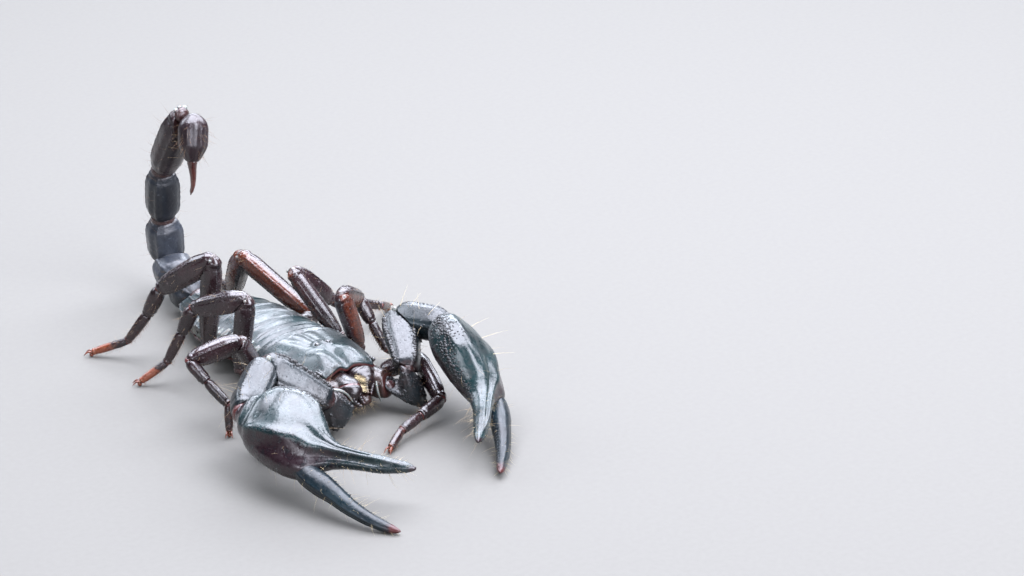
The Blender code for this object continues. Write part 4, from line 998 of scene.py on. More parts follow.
    FP = ((14.6, 5.6, 1.35), (15.6, 6.3, 1.8), (16.9, 7.0, 2.0), (19.4, 7.9, 2.05), (22.4, 9.2, 1.75), (26.4, 11.1, 1.4), (30.4, 12.2, 1.1), (33.8, 12.5, 0.8), (35.3, 12.45, 0.42), (35.8, 12.4, 0.12))
    mover = Build()
    key = np.array(FP)
    run = np.concatenate([[0], np.cumsum(np.hypot(np.diff(key[:, 0]), np.diff(key[:, 1])))])
    q = np.linspace(0, run[-1], 190)
    ax = np.interp(q, run, key[:, 0])
    path_a = curve([(r, v) for r, v in zip(run, key[:, 0])], q)
    path_o = curve([(r, v) for r, v in zip(run, key[:, 1])], q)
    half = curve([(r, v) for r, v in zip(run, key[:, 2])], q)
    line = finger(path_a, path_o)
    kernel = np.ones(15) / 15
    for axis in range(3):
        pad = np.pad(line[:, axis], 7, mode="reflect", reflect_type="odd")
        line[:, axis] = np.convolve(pad, kernel, "valid")
    tangent = unit(np.gradient(line, axis=0))
    _, across, _ = frame_of(tangent, outer)

    def finger_relief(T, A, P):
        def near(angle, width):
            d = (A - angle + np.pi) % (2 * np.pi) - np.pi
            return bump(d, width)
        out = noise(P, 2.2, 16, 3) * 0.03 + 0.16 * near(0.75, 0.14) * (1 - smooth(T, 0.7, 0.9)) + 0.12 * near(-0.75, 0.14) * (1 - smooth(T, 0.7, 0.9))
        out = out - 0.10 * near(0.0, 0.22) * smooth(T, 0.05, 0.2) * (1 - smooth(T, 0.75, 0.9))
        out = out + 0.12 * near(np.pi, 0.22) * (0.5 + 0.5 * np.sin(T * 185)) * smooth(T, 0.15, 0.2) * (1 - smooth(T, 0.93, 0.97))
        return out

    (seat_along, seat_out), (nose, flank) = ((15.9, 8.2), (0.64, 0.77))
    seat, facing = palm(seat_along, np.asarray(seat_out)), forward * nose + outer * flank
    s = loft(mover, line, across, dorsal, half, half * 0.92, q / run[-1], 2.2, 72, finger_relief, cuts=[Cut(seat, facing, forward, -1.1)],
             zone=lambda T, A, P: np.clip(smooth(T, 0.80, 0.98) + 0.5 * (1 - smooth(T, 0.03, 0.14)), 0, 1))
    grains(mover, s, np.linspace(0.16, 0.94, 30), np.pi + rng.normal(0, 0.10, 30), np.where(np.arange(30) % 6 == 0, 0.24, 0.13), 0.9)
    t, a = scatter(120, 0.05, 0.6)
    grains(mover, s, t, a, rng.uniform(0.04, 0.10, 120), 0.6)
    hairs("short", s, *scatter(60, 0.1, 0.98), 1.3, 0.022, 0.45, tone=0.6)
    hairs("long", s, *scatter(12, 0.1, 0.8), 2.6, 0.024, 0.25, tone=0.6)
    PALPS[side] = {"trochanter": troch, "femur": femur, "patella": patella, "hand": hand, "moving_finger": mover}

for t, a, right_, up_, length in ((0.09, -1.36, 0.30, 0.95, 4.3), (0.49, -1.42, -0.15, 0.98, 3.2), (0.30, -1.30, 0.55, 0.80, 3.0), (0.72, -1.60, 0.62, 0.75, 3.4)):
    strand(SKINS["patella left"], t, a, ASIDE * right_ + ALOFT * up_, length, (0.2, 0.1, -0.3), 0.032, 0.7)
for t, a, right_, up_, length in ((0.20, 1.50, 0.93, 0.37, 4.8), (0.12, 1.62, 0.80, 0.55, 3.4), (0.30, 1.35, 0.97, 0.15, 3.6)):
    strand(SKINS["hand left"], t, a, ASIDE * right_ + ALOFT * up_, length, (0.3, -0.2, -0.4), 0.032, 0.7)
for t, a, right_, up_, length in ((0.25, 1.3, -0.85, 0.45, 4.0), (0.5, 1.5, -0.6, 0.75, 3.6), (0.75, 1.2, -0.8, 0.5, 3.4)):
    strand(SKINS["patella right"], t, a, ASIDE * right_ + ALOFT * up_, length, (-0.2, 0.1, -0.4), 0.032, 0.7)

# -- legs

LEG_BUILDS = {}
for (number, side), joints in LEGS.items():
    k = LEG_SCALE[number]
    hip, knee, shin, ankle, toe, tip = [V3(*j) for j in joints]
    outward = unit(V3(tip[0] - hip[0], tip[1] - hip[1], 0))
    hinge = np.cross(outward, V3(0, 0, 1))

    def leg_relief(keels, height):
        def relief(T, A, P):
            return (noise(P, 1.6, 17, 3) * 0.03 + corner_keels(T, A, keels, height, 0.15) + 0.10 * bump(T - 0.965, 0.022) - 0.10 * bump(T - 0.92, 0.025) + 0.07 * bump(T - 0.03, 0.02))
        return relief

    KL = (0.75, np.pi - 0.75, -0.95, -np.pi + 0.95)
    # red-brown edge tone on one side of each femur and patella, strongest on left legs III and IV: underside colour
    # together with a painted glow of light through the cuticle
    under, facing = {2: (0.8, -0.55), 3: (0.5, 2.4), 4: (1.0, 2.7)}.get(number if side == "left" else 0, (0.2, -0.55))
    ends_and_glow_zone = lambda T, A, P, under=under, facing=facing: np.clip(0.45 * smooth(T, 0.90, 1.02) + 0.4 * (1 - smooth(T, 0.0, 0.08)) + under * smooth(np.cos(A - facing), 0.1, 0.8), 0, 1)
    femur = Build()
    s = rod(femur, hip, knee, hinge, ((0, 1.0 * k, 1.05 * k), (0.35, 1.35 * k, 1.75 * k), (0.8, 1.4 * k, 1.85 * k), (1, 1.3 * k, 1.55 * k)), power=2.5, overrun=(0.0, 0.5), around=56, fine=0.16,
            cuts=[joint_cut(hip, knee, shin, True, 0.08)], relief=leg_relief(KL, 0.13), zone=ends_and_glow_zone)
    length = np.linalg.norm(knee - hip)
    t, a = keel_places(KL, 0.08, 0.92, 0.42, length, 0.06, 0.05)
    grains(femur, s, t, a, rng.uniform(0.08, 0.16, len(t)), 0.7)
    t, a = scatter(int(length * 11), 0.05, 0.95)
    grains(femur, s, t, a, rng.uniform(0.05, 0.11, len(t)), 0.6)
    hairs("short", s, *scatter(int(length * 1.7), 0.1, 0.98), 1.4, 0.018, 0.30, tone=0.35)

    patella = Build()
    s = rod(patella, knee, shin, hinge, ((0, 1.25 * k, 1.45 * k), (0.3, 1.45 * k, 2.1 * k), (0.75, 1.35 * k, 1.9 * k), (1, 1.05 * k, 1.25 * k)), power=2.5, overrun=(0.5, 0.45), around=56, fine=0.16,
            cuts=[joint_cut(hip, knee, shin, False, 0.08), joint_cut(knee, shin, ankle, True, 0.08)], relief=leg_relief(KL, 0.14), zone=ends_and_glow_zone)
    length = np.linalg.norm(shin - knee)
    t, a = keel_places(KL, 0.08, 0.92, 0.42, length, 0.06, 0.05)
    grains(patella, s, t, a, rng.uniform(0.08, 0.16, len(t)), 0.7)
    t, a = scatter(int(length * 11), 0.05, 0.95)
    grains(patella, s, t, a, rng.uniform(0.05, 0.11, len(t)), 0.6)
    hairs("short", s, *scatter(int(length * 2.2), 0.1, 0.98), 1.5, 0.018, 0.30, tone=0.35)

    foot = Build()
    chain = [shin, ankle, toe, tip]
    sizes = (((0, 0.95 * k, 1.05 * k), (0.25, 1.16 * k, 1.38 * k), (0.75, 1.12 * k, 1.28 * k), (1, 0.97 * k, 1.02 * k)),
             ((0, 0.90 * k, 0.92 * k), (0.3, 0.98 * k, 0.98 * k), (0.8, 0.86, 0.86), (1, 0.77, 0.77)),
             ((0, 0.68, 0.68), (0.3, 0.74, 0.76), (0.8, 0.68, 0.70), (1, 0.58, 0.60)))
    for pieceno in range(3):
        a0, b0 = chain[pieceno], chain[pieceno + 1]
        cuts = [joint_cut(chain[pieceno - 1] if pieceno else knee, a0, b0, False, 0.05)]
        if pieceno < 2:
            cuts.append(joint_cut(a0, b0, chain[pieceno + 2], True, 0.05))
        redder = ((0.08, 0.25, 1.0) if side == "right" and number > 2 else (0.08, 0.18, 0.40))[pieceno]
        s = rod(foot, a0, b0, hinge, sizes[pieceno], power=2.3, overrun=(0.35, 0.35 if pieceno < 2 else 0.0), around=44, fine=0.14, cuts=cuts,
                relief=lambda T, A, P: noise(P, 1.0, 18, 3) * 0.05 + 0.08 * bump(T - 0.95, 0.03) - 0.08 * bump(T - 0.88, 0.03), zone=lambda T, A, P, r=redder, late=(1.0 if redder == 1.0 else 0.0): np.clip(r * (1 - late * 0.9 * (1 - smooth(T + 0.12 * noise(P, 1.2, 33, 2), 0.22, 0.50))) + 0.3 * smooth(T, 0.85, 1.0), 0, 1))
        length = np.linalg.norm(b0 - a0)
        t, a = scatter(int(length * 8), 0.05, 0.95)
        grains(foot, s, t, a, rng.uniform(0.035, 0.07, len(t)), 0.6, tone=0.6)
        hairs("short", s, *scatter(int(length * (3.0, 4.5, 5.0)[pieceno]), 0.08, 0.98), (1.5, 1.2, 1.0)[pieceno], 0.016, 0.30, tone=0.35)
        if pieceno > 0:  # stout spines under the tarsus
            m = int(length * 1.6) + 2
            hairs("short", s, np.tile(np.linspace(0.15, 0.92, m), 2), np.repeat([-np.pi / 2 - 0.55, -np.pi / 2 + 0.55], m), 0.8, 0.045, 0.35, tone=0.0)
    head = unit(V3(tip[0] - toe[0], tip[1] - toe[1], 0) + V3(0, 0, 1e-6))
    if np.linalg.norm((tip - toe)[:2]) < 0.8:
        head = outward
    sideways = np.cross(head, V3(0, 0, 1))
    for lean in (0.42, -0.42):
        base = V3(tip[0], tip[1], max(tip[2], 0.75)) + sideways * lean * 0.6
        m = np.linspace(0, 1, 26)
        run = 1.55
        line = base + (head * 0.93 + sideways * lean * 0.55) * (m * run)[:, None] + V3(0, 0, 1) * (0.28 * np.sin(m * np.pi) - 0.52 * m**1.6)[:, None]
        line[:, 2] = np.maximum(line[:, 2], 0.12)
        tg = unit(np.gradient(line, axis=0))
        _, sd, up = frame_of(tg, sideways)
        r = 0.24 * (1 - m**1.5 * 0.8)
        loft(foot, line, sd, up, r, r, m, 2.0, 14, zone=1.0, tone=0.35)
    pad = tip + head * 0.15
    ball(foot, V3(pad[0], pad[1], 0.42), (0.42, 0.42, 0.42), mat=0, zone=1.0, around=20, rings=10)
    LEG_BUILDS[(number, side)] = {"femur": femur, "patella": patella, "foot": foot}

# -- eyes

EYES = {}
for side, sign in SIDES.items():
    body = Build()
    ball(body, trunk((sign * 1.12, -9.4, 10.18)), (0.50, 0.50, 0.50), around=40, rings=24, relief=lambda T, A, P: noise(P, 0.5, 19, 1) * 0.004)
    EYES["median_eye_" + side] = body
    body = Build()
    for k in range(3):
        r = (0.34, 0.32, 0.26)[k]
        ball(body, trunk((sign * (5.62 - 0.02 * k), -17.35 + 0.66 * k, 8.06 + 0.03 * k)), (r, r, r), around=30, rings=18, relief=lambda T, A, P: noise(P, 0.5, 20, 1) * 0.004)
    EYES["lateral_eyes_" + side] = body

# -- soft membrane under the plates and in the joints, one piece

FLESH = Build()
yy = np.linspace(-15.6, 33.6, 350)
w = np.where(yy < 1, curve(CARAPACE_HALF_WIDTHS, np.minimum(yy, 0)), curve(BACK_HALF_WIDTHS, np.maximum(yy, 0))) - 0.42
w = w * (1 - 0.35 * smooth(-yy, 12.5, 15.6)) * (1 - 0.25 * smooth(yy, 32, 33.6))
top = np.where(yy < 0, curve(CARAPACE_CROWN, np.minimum(yy, 0)), curve(BACK_CROWN, np.maximum(yy, 0))) - 1.15
top = top - 0.9 * smooth(-yy, 12, 15.6)
bottom = np.where(yy < 1.9, 2.9, curve(BELLY_FLOOR, np.maximum(yy, 2)) + 0.9)
middle = (top + bottom) / 2
centres = trunk(np.stack([np.zeros_like(yy), yy, middle], -1))
_, sd, up = frame_of(trunk((0, 1, 0)) - trunk((0, 0, 0)), (1, 0, 0))


def pleura_relief(T, A, P):
    side_on = bump((np.abs(np.cos(A)) - 1), 0.42)
    yv = T * 49.2 - 15.6
    folds = np.sin(yv * 5.2 + 1.2 * np.sin(A * 3) + noise(P, 3.0, 21, 2) * 1.5)
    fine = np.sin(yv * 13.0 + noise(P, 2.0, 22, 2) * 3)
    lengthwise = np.sin(P[..., 2] * 4.2 + noise(P, 3.0, 23, 1))
    return side_on * (0.15 * folds + 0.05 * fine + 0.08 * lengthwise) + noise(P, 1.2, 24, 2) * 0.03


loft(FLESH, centres, sd, np.cross(sd, unit(trunk((0, 1, 0)) - trunk((0, 0, 0)))) * -1, w, (top - bottom) / 2, (yy + 15.6) / 49.2, 3.2, 140, pleura_relief,
     tone=0.0, zone=lambda T, A, P: 0.15 + 0.2 * smooth(T, 0.0, 0.1))


def knot(centre, radius, toward, stretch=0.8, tone=0.6, zone=0.8):
    """The folded membrane in one joint."""
    ax = unit(toward)
    helper = unit(np.cross(ax, V3(0.2, 0.5, 0.8)))
    axes = (helper, np.cross(ax, helper), ax)
    ball(FLESH, centre, (radius, radius, radius * stretch), axes, tone=tone, zone=zone, around=34, rings=20,
         relief=lambda T, A, P: 0.07 * np.sin(T * 44) * np.sin(T * np.pi))


for (number, side), joints in LEGS.items():
    k = LEG_SCALE[number]
    pts = [V3(*j) for j in joints]
    hinge = np.cross(unit(V3(pts[5][0] - pts[0][0], pts[5][1] - pts[0][1], 0)), V3(0, 0, 1))
    knot(pts[0], 1.10 * k, pts[1] - pts[0], 0.9, 0.1, 1.0)
    knot(pts[1], 0.95 * k, pts[2] - pts[0], 0.9, 0.05, 0.85)
    knot(pts[2], 0.86 * k, pts[3] - pts[1], 0.9, 0.5, 1.0)
    knot(pts[3], 0.72 * k, pts[4] - pts[2], 0.9, 0.5, 1.0)
    knot(pts[4], 0.60, pts[5] - pts[3], 0.9, 0.5, 1.0)
    for s_ in (1, -1):  # pale condyles each side of the knee
        ball(FLESH, pts[1] + hinge * s_ * 1.05 * k, (0.30 * k, 0.30 * k, 0.30 * k), tone=0.25, zone=0.35, around=20, rings=12, relief=lambda T, A, P: noise(P, 0.8, 25, 1) * 0.03)
joints = [V3(*j) for j in TAIL_JOINTS] + [VESICLE_END]
for i in range(5):
    before, here, after = joints[i], joints[i + 1], joints[i + 2]
    h = TAIL_HALVES[i]
    knot(here, min(h) * (0.72 if i < 4 else 0.50), unit(after - here) + unit(here - before), 0.7, 0.0, 0.95)
knot(V3(*TAIL_JOINTS[0]) + V3(0, 0.1, -0.3), 2.4, (0, 1, 0), 0.6, 0.0, 0.9)
for place, size in (((0.9, 0.5, 1.1), 0.55), ((-0.8, 0.7, 0.9), 0.5), ((0.1, 1.0, 1.2), 0.45)):  # pale folds over the telson's joint
    ball(FLESH, joints[5] + V3(*place), (size, size, size * 0.7), tone=0.0, zone=0.1, around=24, rings=14, relief=lambda T, A, P: noise(P, 0.8, 27, 2) * 0.05)
for side, sign in SIDES.items():
    coxa_end, knuckle, elbow, wrist = [V3(*p) for p in ARMS[side]]
    forward = unit(HAND_AXES[side][0])
    knot(coxa_end, 1.35, knuckle - coxa_end, 0.8, 0.05, 1.0)
    knot(knuckle, 1.35, elbow - knuckle, 0.9, 0.05, 1.0)
    knot(elbow, 1.75, unit(wrist - elbow) + unit(elbow - knuckle), 0.9, 0.1, 1.0)
    knot(wrist, 1.98, unit(forward) + unit(wrist - elbow), 0.9, 0.4, 1.0)
    fold = unit(np.cross(knuckle - elbow, wrist - elbow))
    for s_ in (1, -1):
        ball(FLESH, elbow + fold * s_ * 1.9, (0.6, 0.6, 0.75), tone=0.15, zone=0.15, around=24, rings=14, relief=lambda T, A, P: noise(P, 0.8, 26, 1) * 0.02)


# ---------------------------------------------------------------- materials

def cuticle(name, deep, light, edge, grain, rough=0.3, rough_grain=0.55, coat=0.3, coat_rough=0.2, blotch=170.0, pits=2200.0, pit_depth=0.05, fine=5200.0, fine_depth=0.05, specks_dust_and_glints=0.25, ior=1.5, subsurface=0.0, edge_noise=0.35, lumps=0.045):
    """Horny cuticle: two tones in soft blotches, the edge tone where zone is high, the grain tone where tone is high,
    pits, fine grain and small pale specks that are partly dust and partly painted glints.
    """
    made = bpy.data.materials.new(name)
    made.use_nodes = True
    nodes, links = made.node_tree.nodes, made.node_tree.links
    shader = nodes["Principled BSDF"]
    where = nodes.new("ShaderNodeTexCoord").outputs["Object"]

    def noise_node(scale, detail=4.0, rough_=0.6, distortion=0.0):
        n = nodes.new("ShaderNodeTexNoise")
        n.inputs["Scale"].default_value = scale
        n.inputs["Detail"].default_value = detail
        n.inputs["Roughness"].default_value = rough_
        n.inputs["Distortion"].default_value = distortion
        links.new(where, n.inputs["Vector"])
        return n.outputs["Fac"]

    def ramp(source, a, b, lo=0.0, hi=1.0):
        m = nodes.new("ShaderNodeMapRange")
        m.interpolation_type = "SMOOTHSTEP"
        m.inputs["From Min"].default_value = a
        m.inputs["From Max"].default_value = b
        m.inputs["To Min"].default_value = lo
        m.inputs["To Max"].default_value = hi
        links.new(source, m.inputs["Value"])
        return m.outputs["Result"]

    def maths(kind, a, b):
        m = nodes.new("ShaderNodeMath")
        m.operation = kind
        m.use_clamp = kind != "SUBTRACT"
        for k, v in enumerate((a, b)):
            if isinstance(v, float):
                m.inputs[k].default_value = v
            else:
                links.new(v, m.inputs[k])
        return m.outputs[0]

    def mixed(fac, a, b, kind="MIX"):
        m = nodes.new("ShaderNodeMix")
        m.data_type = "RGBA"
        m.blend_type = kind
        links.new(fac, m.inputs[0])
        for k, v in ((6, a), (7, b)):
            if isinstance(v, tuple):
                m.inputs[k].default_value = (*v, 1)
            else:
                links.new(v, m.inputs[k])
        return m.outputs[2]

    def attribute(key):
        n = nodes.new("ShaderNodeAttribute")
        n.attribute_name = key
        return n.outputs["Fac"]

    big, mid, small = noise_node(blotch, 3.0), noise_node(blotch * 5.5, 4.0, 0.65), noise_node(fine, 3.0)
    zone, tone = attribute("zone"), attribute("tone")
    colour = mixed(ramp(big, 0.34, 0.68), deep, light)
    colour = mixed(ramp(mid, 0.45, 0.75, 0.0, 0.5), colour, tuple(c * 0.45 for c in deep))
    soft = maths("MULTIPLY", maths("ADD", zone, ramp(mid, 0.3, 0.7, -edge_noise, edge_noise)), zone)
    colour = mixed(ramp(soft, 0.05, 0.95), colour, edge)
    colour = mixed(ramp(tone, 0.1, 0.9), colour, grain)
    # pale specks: partly dust, partly painted glints of light on the grains
    speck_noise = noise_node(blotch * 16, 5.0, 0.75, 0.4)
    spots = nodes.new("ShaderNodeTexVoronoi")
    spots.inputs["Scale"].default_value = pits * 0.42
    links.new(where, spots.inputs["Vector"])
    dust_and_glint_specks = maths("MULTIPLY", ramp(speck_noise, 0.53, 0.60), ramp(spots.outputs["Distance"], 0.22, 0.10))
    colour = mixed(maths("MULTIPLY", dust_and_glint_specks, specks_dust_and_glints), colour, tuple(min(1.0, c * 3 + 0.16) for c in light))
    links.new(colour, shader.inputs["Base Color"])
    polish = ramp(mid, 0.3, 0.75, rough - 0.07, rough + 0.10)
    m = nodes.new("ShaderNodeMix")
    links.new(tone, m.inputs[0])
    links.new(polish, m.inputs[2])
    m.inputs[3].default_value = rough_grain
    m2 = nodes.new("ShaderNodeMath")
    m2.operation = "ADD"
    links.new(m.outputs[0], m2.inputs[0])
    links.new(ramp(small, 0.4, 0.7, -0.03, 0.05), m2.inputs[1])
    links.new(m2.outputs[0], shader.inputs["Roughness"])
    cells = nodes.new("ShaderNodeTexVoronoi")
    cells.inputs["Scale"].default_value = pits
    cells.inputs["Randomness"].default_value = 0.9
    links.new(where, cells.inputs["Vector"])
    first = nodes.new("ShaderNodeBump")
    first.inputs["Strength"].default_value = 0.9
    first.inputs["Distance"].default_value = pit_depth * 0.001
    links.new(ramp(cells.outputs["Distance"], 0.05, 0.55), first.inputs["Height"])
    second = nodes.new("ShaderNodeBump")
    second.inputs["Strength"].default_value = 0.9
    second.inputs["Distance"].default_value = fine_depth * 0.001
    links.new(small, second.inputs["Height"])
    links.new(first.outputs["Normal"], second.inputs["Normal"])
    third = nodes.new("ShaderNodeBump")
    third.inputs["Strength"].default_value = 0.8
    third.inputs["Distance"].default_value = lumps * 0.001
    links.new(mid, third.inputs["Height"])
    links.new(second.outputs["Normal"], third.inputs["Normal"])
    links.new(third.outputs["Normal"], shader.inputs["Normal"])
    shader.inputs["IOR"].default_value = ior
    shader.inputs["Coat Weight"].default_value = coat
    shader.inputs["Coat Roughness"].default_value = coat_rough
    if subsurface:
        shader.inputs["Subsurface Weight"].default_value = subsurface
        shader.inputs["Subsurface Scale"].default_value = 0.001
    return made


BLACK = (0.003, 0.003, 0.004)
M_SHELL = cuticle("shell cuticle", (0.0035, 0.0095, 0.011), (0.009, 0.024, 0.026), (0.016, 0.015, 0.011), BLACK, rough=0.35, coat=0.25, coat_rough=0.25, pits=1700, pit_depth=0.018, fine_depth=0.012, specks_dust_and_glints=0.35, lumps=0.026)
M_CARAPACE = cuticle("carapace cuticle", (0.0035, 0.0095, 0.011), (0.009, 0.024, 0.026), (0.050, 0.010, 0.009), BLACK, rough=0.33, coat=0.3, coat_rough=0.24, pits=1700, pit_depth=0.018, fine_depth=0.012, specks_dust_and_glints=0.35, lumps=0.03)
M_CLAW = cuticle("claw cuticle", (0.003, 0.0085, 0.010), (0.008, 0.024, 0.026), (0.0110, 0.0034, 0.0060), BLACK, rough=0.3, coat=0.3, coat_rough=0.2, blotch=140, pits=1500, pit_depth=0.025, fine_depth=0.012, specks_dust_and_glints=0.45)
M_ARM = cuticle("arm cuticle", (0.004, 0.006, 0.008), (0.009, 0.016, 0.019), (0.020, 0.007, 0.007), BLACK, rough=0.34, coat=0.25, coat_rough=0.24, pits=1600, pit_depth=0.03, fine_depth=0.015, specks_dust_and_glints=0.5)
M_TAIL = cuticle("tail cuticle", (0.005, 0.0065, 0.010), (0.013, 0.017, 0.023), (0.014, 0.008, 0.009), (0.005, 0.005, 0.007), rough=0.38, coat=0.2, coat_rough=0.3, pits=1500, pit_depth=0.03, fine_depth=0.015, specks_dust_and_glints=0.3)
# rings 2 and 3: a paler copy of the tail cuticle, its lighter colours a painted sheen
M_TAIL_PAINTED_SHEEN = cuticle("tail cuticle with painted sheen", (0.010, 0.013, 0.019), (0.034, 0.041, 0.054), (0.014, 0.010, 0.012), (0.02, 0.022, 0.03), rough=0.40, coat=0.35, coat_rough=0.3, blotch=230, pits=1500, pit_depth=0.03, fine_depth=0.015, specks_dust_and_glints=0.4, lumps=0.09)
M_TELSON = cuticle("telson cuticle", (0.008, 0.004, 0.006), (0.018, 0.008, 0.010), (0.014, 0.003, 0.003), (0.012, 0.005, 0.005), rough=0.33, coat=0.3, coat_rough=0.22, pits=1900, pit_depth=0.025, fine_depth=0.012, specks_dust_and_glints=0.3)
M_STING = cuticle("sting horn", (0.030, 0.007, 0.006), (0.060, 0.014, 0.010), (0.085, 0.030, 0.024), BLACK, rough=0.16, coat=0.7, coat_rough=0.1, pits=3200, pit_depth=0.006, fine_depth=0.006, specks_dust_and_glints=0.05, subsurface=0.1)
M_UNDER = cuticle("underside cuticle", (0.014, 0.007, 0.006), (0.030, 0.014, 0.011), (0.036, 0.009, 0.007), (0.005, 0.003, 0.003), rough=0.33, coat=0.3, coat_rough=0.22, pits=1700, pit_depth=0.02, fine_depth=0.012, specks_dust_and_glints=0.15)
M_LIMB = cuticle("leg cuticle", (0.010, 0.0045, 0.006), (0.024, 0.011, 0.013), (0.085, 0.020, 0.009), (0.004, 0.003, 0.004), rough=0.25, coat=0.5, coat_rough=0.16, blotch=220, pits=1900, pit_depth=0.03, fine_depth=0.015, specks_dust_and_glints=0.9)
M_TARSUS = cuticle("foot cuticle", (0.008, 0.0035, 0.0045), (0.018, 0.007, 0.008), (0.155, 0.036, 0.013), (0.03, 0.009, 0.007), rough=0.30, coat=0.35, coat_rough=0.2, blotch=240, pits=2200, pit_depth=0.02, fine_depth=0.012, specks_dust_and_glints=0.35, subsurface=0.05, edge_noise=0.5)
# moving fingers: base colours darker than the claw's, painted shade; the lower IOR and coat cut their reflections
M_FINGER_SHADED = cuticle("finger cuticle with painted shade", (0.0025, 0.006, 0.009), (0.006, 0.015, 0.020), (0.055, 0.012, 0.012), BLACK, rough=0.34, coat=0.10, coat_rough=0.2, ior=1.40, pits=1500, pit_depth=0.02, fine_depth=0.012, specks_dust_and_glints=0.3)
M_JAW = cuticle("jaw cuticle", (0.005, 0.0025, 0.003), (0.011, 0.0055, 0.006), (0.085, 0.010, 0.010), BLACK, rough=0.30, coat=0.35, coat_rough=0.2, pits=2600, pit_depth=0.006, fine_depth=0.006, specks_dust_and_glints=0.1, lumps=0.012)
M_PECTEN = cuticle("comb cuticle", (0.24, 0.13, 0.07), (0.36, 0.22, 0.13), (0.46, 0.31, 0.19), (0.3, 0.2, 0.1), rough=0.38, coat=0.2, pits=2600, pit_depth=0.03, specks_dust_and_glints=0.1, subsurface=0.15)
M_EYE = cuticle("eye lens", (0.002, 0.002, 0.003), (0.004, 0.004, 0.005), (0.003, 0.003, 0.004), BLACK, rough=0.09, rough_grain=0.1, coat=0.9, coat_rough=0.03, pits=4200, pit_depth=0.001, fine_depth=0.001, specks_dust_and_glints=0.02, lumps=0.002)
M_FLESH = cuticle("joint membrane", (0.10, 0.105, 0.095), (0.19, 0.21, 0.19), (0.030, 0.010, 0.010), (0.13, 0.018, 0.016), rough=0.32, rough_grain=0.28, coat=0.35, coat_rough=0.22, blotch=260, pits=1900, pit_depth=0.04, fine_depth=0.02, specks_dust_and_glints=0.2, subsurface=0.1, edge_noise=0.2)
M_HAIR = cuticle("setae", (0.10, 0.040, 0.016), (0.20, 0.085, 0.034), (0.2, 0.1, 0.05), (0.72, 0.60, 0.36), rough=0.38, rough_grain=0.36, coat=0.0, blotch=500, pits=3000, pit_depth=0.01, fine_depth=0.01, specks_dust_and_glints=0.0)

made = []
made.append(piece(CARAPACE, "plate_carapace", [M_CARAPACE], "shell", "carapace"))
for number, body in enumerate(TERGITE_BUILDS, 1):
    made.append(piece(body, f"plate_tergite_{number}", [M_SHELL], "shell", f"tergite_{number}"))
piece(BELLY, "plate_belly", [M_UNDER], "underside", "belly")
piece(COXAE, "plate_coxosternum", [M_UNDER], "underside", "coxosternum")
for side in SIDES:
    piece(CHELICERAE[side], "jaw_" + side, [M_JAW], "chelicera", "chelicera_" + side)
    piece(PECTINES[side], "comb_" + side, [M_PECTEN], "pecten", "pecten_" + side)
    for key in ("median_eye_", "lateral_eyes_"):
        piece(EYES[key + side], "lens_" + key + side, [M_EYE], "eye", key + side)
    for part, body in PALPS[side].items():
        material = {"hand": M_CLAW, "moving_finger": M_FINGER_SHADED}.get(part, M_ARM)
        piece(body, f"palp_{side}_{part}", [material], "finger" if part == "moving_finger" else "claw", f"pedipalp_{side}_{part}")
for i, body in enumerate(TAIL, 1):
    # rings 2 and 3 get the paler cuticle whose colours are painted sheen
    piece(body, f"ring_tail_{i}", [M_TELSON if i == 5 else M_TAIL_PAINTED_SHEEN if i in (2, 3) else M_TAIL], "telson" if i == 5 else "claw", f"tail_segment_{i}")
piece(VESICLE, "bulb_telson", [M_TELSON], "telson", "telson_vesicle")
piece(STING, "barb_sting", [M_STING], "sting", "sting")
for (number, side), bodies in LEG_BUILDS.items():
    for part, body in bodies.items():
        piece(body, f"limb_{number}_{side}_{part}", [M_TARSUS if part == "foot" else M_LIMB], "tarsus" if part == "foot" else "limb", f"leg_{number}_{side}_{part}")
piece(FLESH, "joint_membranes", [M_FLESH], "limb")
piece(COXAL_RIM_HIGHLIGHTS, "coxal_rims_painted_highlight", [M_FLESH], "limb")
for kind, body in HAIRS.items():
    piece(body, "setae_" + kind, [M_HAIR], "tarsus", uv=True)

# ---------------------------------------------------------------- floor, light, camera

def floor_sheet():
    n = 120
    r = np.linspace(-1, 1, n)
    X, Y = np.meshgrid(r, r)
    X, Y = X * np.abs(X) * 1.6, Y * np.abs(Y) * 1.6
    Z = np.full_like(X, -0.00002)
    mesh = bpy.data.meshes.new("floor")
    pts = np.stack([X, Y, Z], -1).reshape(-1, 3)
    quads = grid_faces(n, n, False)
    mesh.from_pydata(pts.tolist(), [], quads.tolist())
    mesh.update()
    obj = bpy.data.objects.new("floor", mesh)
    bpy.context.scene.collection.objects.link(obj)
    return obj


floor = floor_sheet()
paper = bpy.data.materials.new("pale floor")
paper.use_nodes = True
nodes, links = paper.node_tree.nodes, paper.node_tree.links
n = nodes.new("ShaderNodeTexNoise")
n.inputs["Scale"].default_value = 900.0
c = nodes.new("ShaderNodeTexCoord")
links.new(c.outputs["Object"], n.inputs["Vector"])
m = nodes.new("ShaderNodeMix")
m.data_type = "RGBA"
links.new(n.outputs["Fac"], m.inputs[0])
m.inputs[6].default_value = (0.108, 0.105, 0.094, 1)
m.inputs[7].default_value = (0.122, 0.119, 0.107, 1)
links.new(m.outputs[2], nodes["Principled BSDF"].inputs["Base Color"])
nodes["Principled BSDF"].inputs["Roughness"].default_value = 0.85
floor.data.materials.append(paper)
floor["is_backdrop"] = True

world = bpy.data.worlds.new("studio")
bpy.context.scene.world = world
world.use_nodes = True
world.node_tree.nodes["Background"].inputs["Color"].default_value = (0.82, 0.90, 1.0, 1)
world.node_tree.nodes["Background"].inputs["Strength"].default_value = 0.06


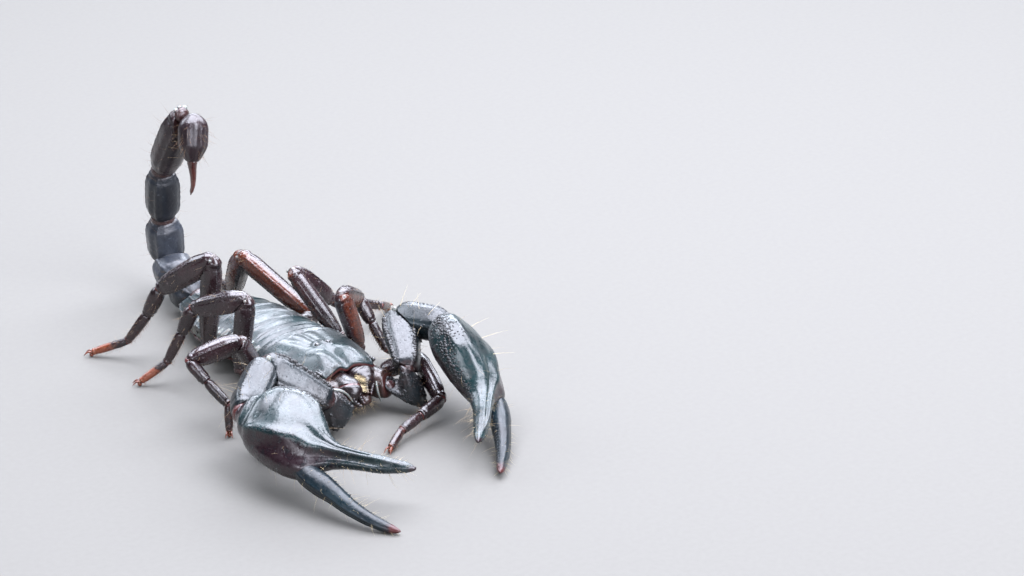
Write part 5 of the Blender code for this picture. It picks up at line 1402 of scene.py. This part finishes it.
def softbox(name, place, target, size, power, colour=(1, 1, 1)):
    data = bpy.data.lights.new(name, "AREA")
    data.shape = "RECTANGLE"
    data.size, data.size_y = size
    data.energy = power
    data.color = colour
    obj = bpy.data.objects.new(name, data)
    bpy.context.scene.collection.objects.link(obj)
    from_, to = np.array(place), np.array(target)
    z = unit(from_ - to)
    x = unit(np.cross(V3(0, 0, 1), z) + V3(1e-6, 0, 0))
    y = np.cross(z, x)
    obj.matrix_world = Matrix([[x[i], y[i], z[i], from_[i]] for i in range(3)] + [[0, 0, 0, 1]])
    return obj


softbox("sky", (0.07, 0.06, 0.48), (0, 0, 0), (0.54, 0.50), 13.0, (0.85, 0.87, 1.0))
softbox("behind", (0.42, 0.60, 0.40), (0, 0, 0.02), (0.60, 0.26), 5.8, (0.83, 0.88, 1.0))
softbox("rear", (-0.26, 0.68, 0.46), (0, 0, 0.02), (0.50, 0.30), 4.2, (0.83, 0.88, 1.0))
softbox("right", (0.62, 0.10, 0.42), (0, 0, 0.02), (0.50, 0.34), 5.5, (0.85, 0.88, 1.0))
softbox("front", (0.15, -0.52, 0.44), (0, 0, 0.01), (0.40, 0.40), 7.6, (0.86, 0.88, 1.0))
softbox("edge", (-0.61, -0.35, 0.26), (0, 0, 0.01), (0.26, 0.24), 1.8, (0.88, 0.90, 1.0))
softbox("near", (-0.14, -0.92, 0.20), (0, 0, 0.02), (0.90, 0.34), 6.0, (0.88, 0.88, 1.0))

cam = bpy.data.cameras.new("camera")
cam.lens, cam.sensor_width = 123.1, 36.0
cam.clip_start, cam.clip_end = 0.01, 10.0
eye = bpy.data.objects.new("camera", cam)
bpy.context.scene.collection.objects.link(eye)
right, upward, back = V3(0.8124, -0.5829, -0.0139), V3(0.2418, 0.3151, 0.9177), V3(-0.5306, -0.7489, 0.3970)
place = V3(-0.303105, -0.493072, 0.26843)
eye.matrix_world = Matrix([[right[i], upward[i], back[i], place[i]] for i in range(3)] + [[0, 0, 0, 1]])
bpy.context.scene.camera = eye
bpy.context.scene.view_settings.view_transform = "Standard"

low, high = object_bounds()
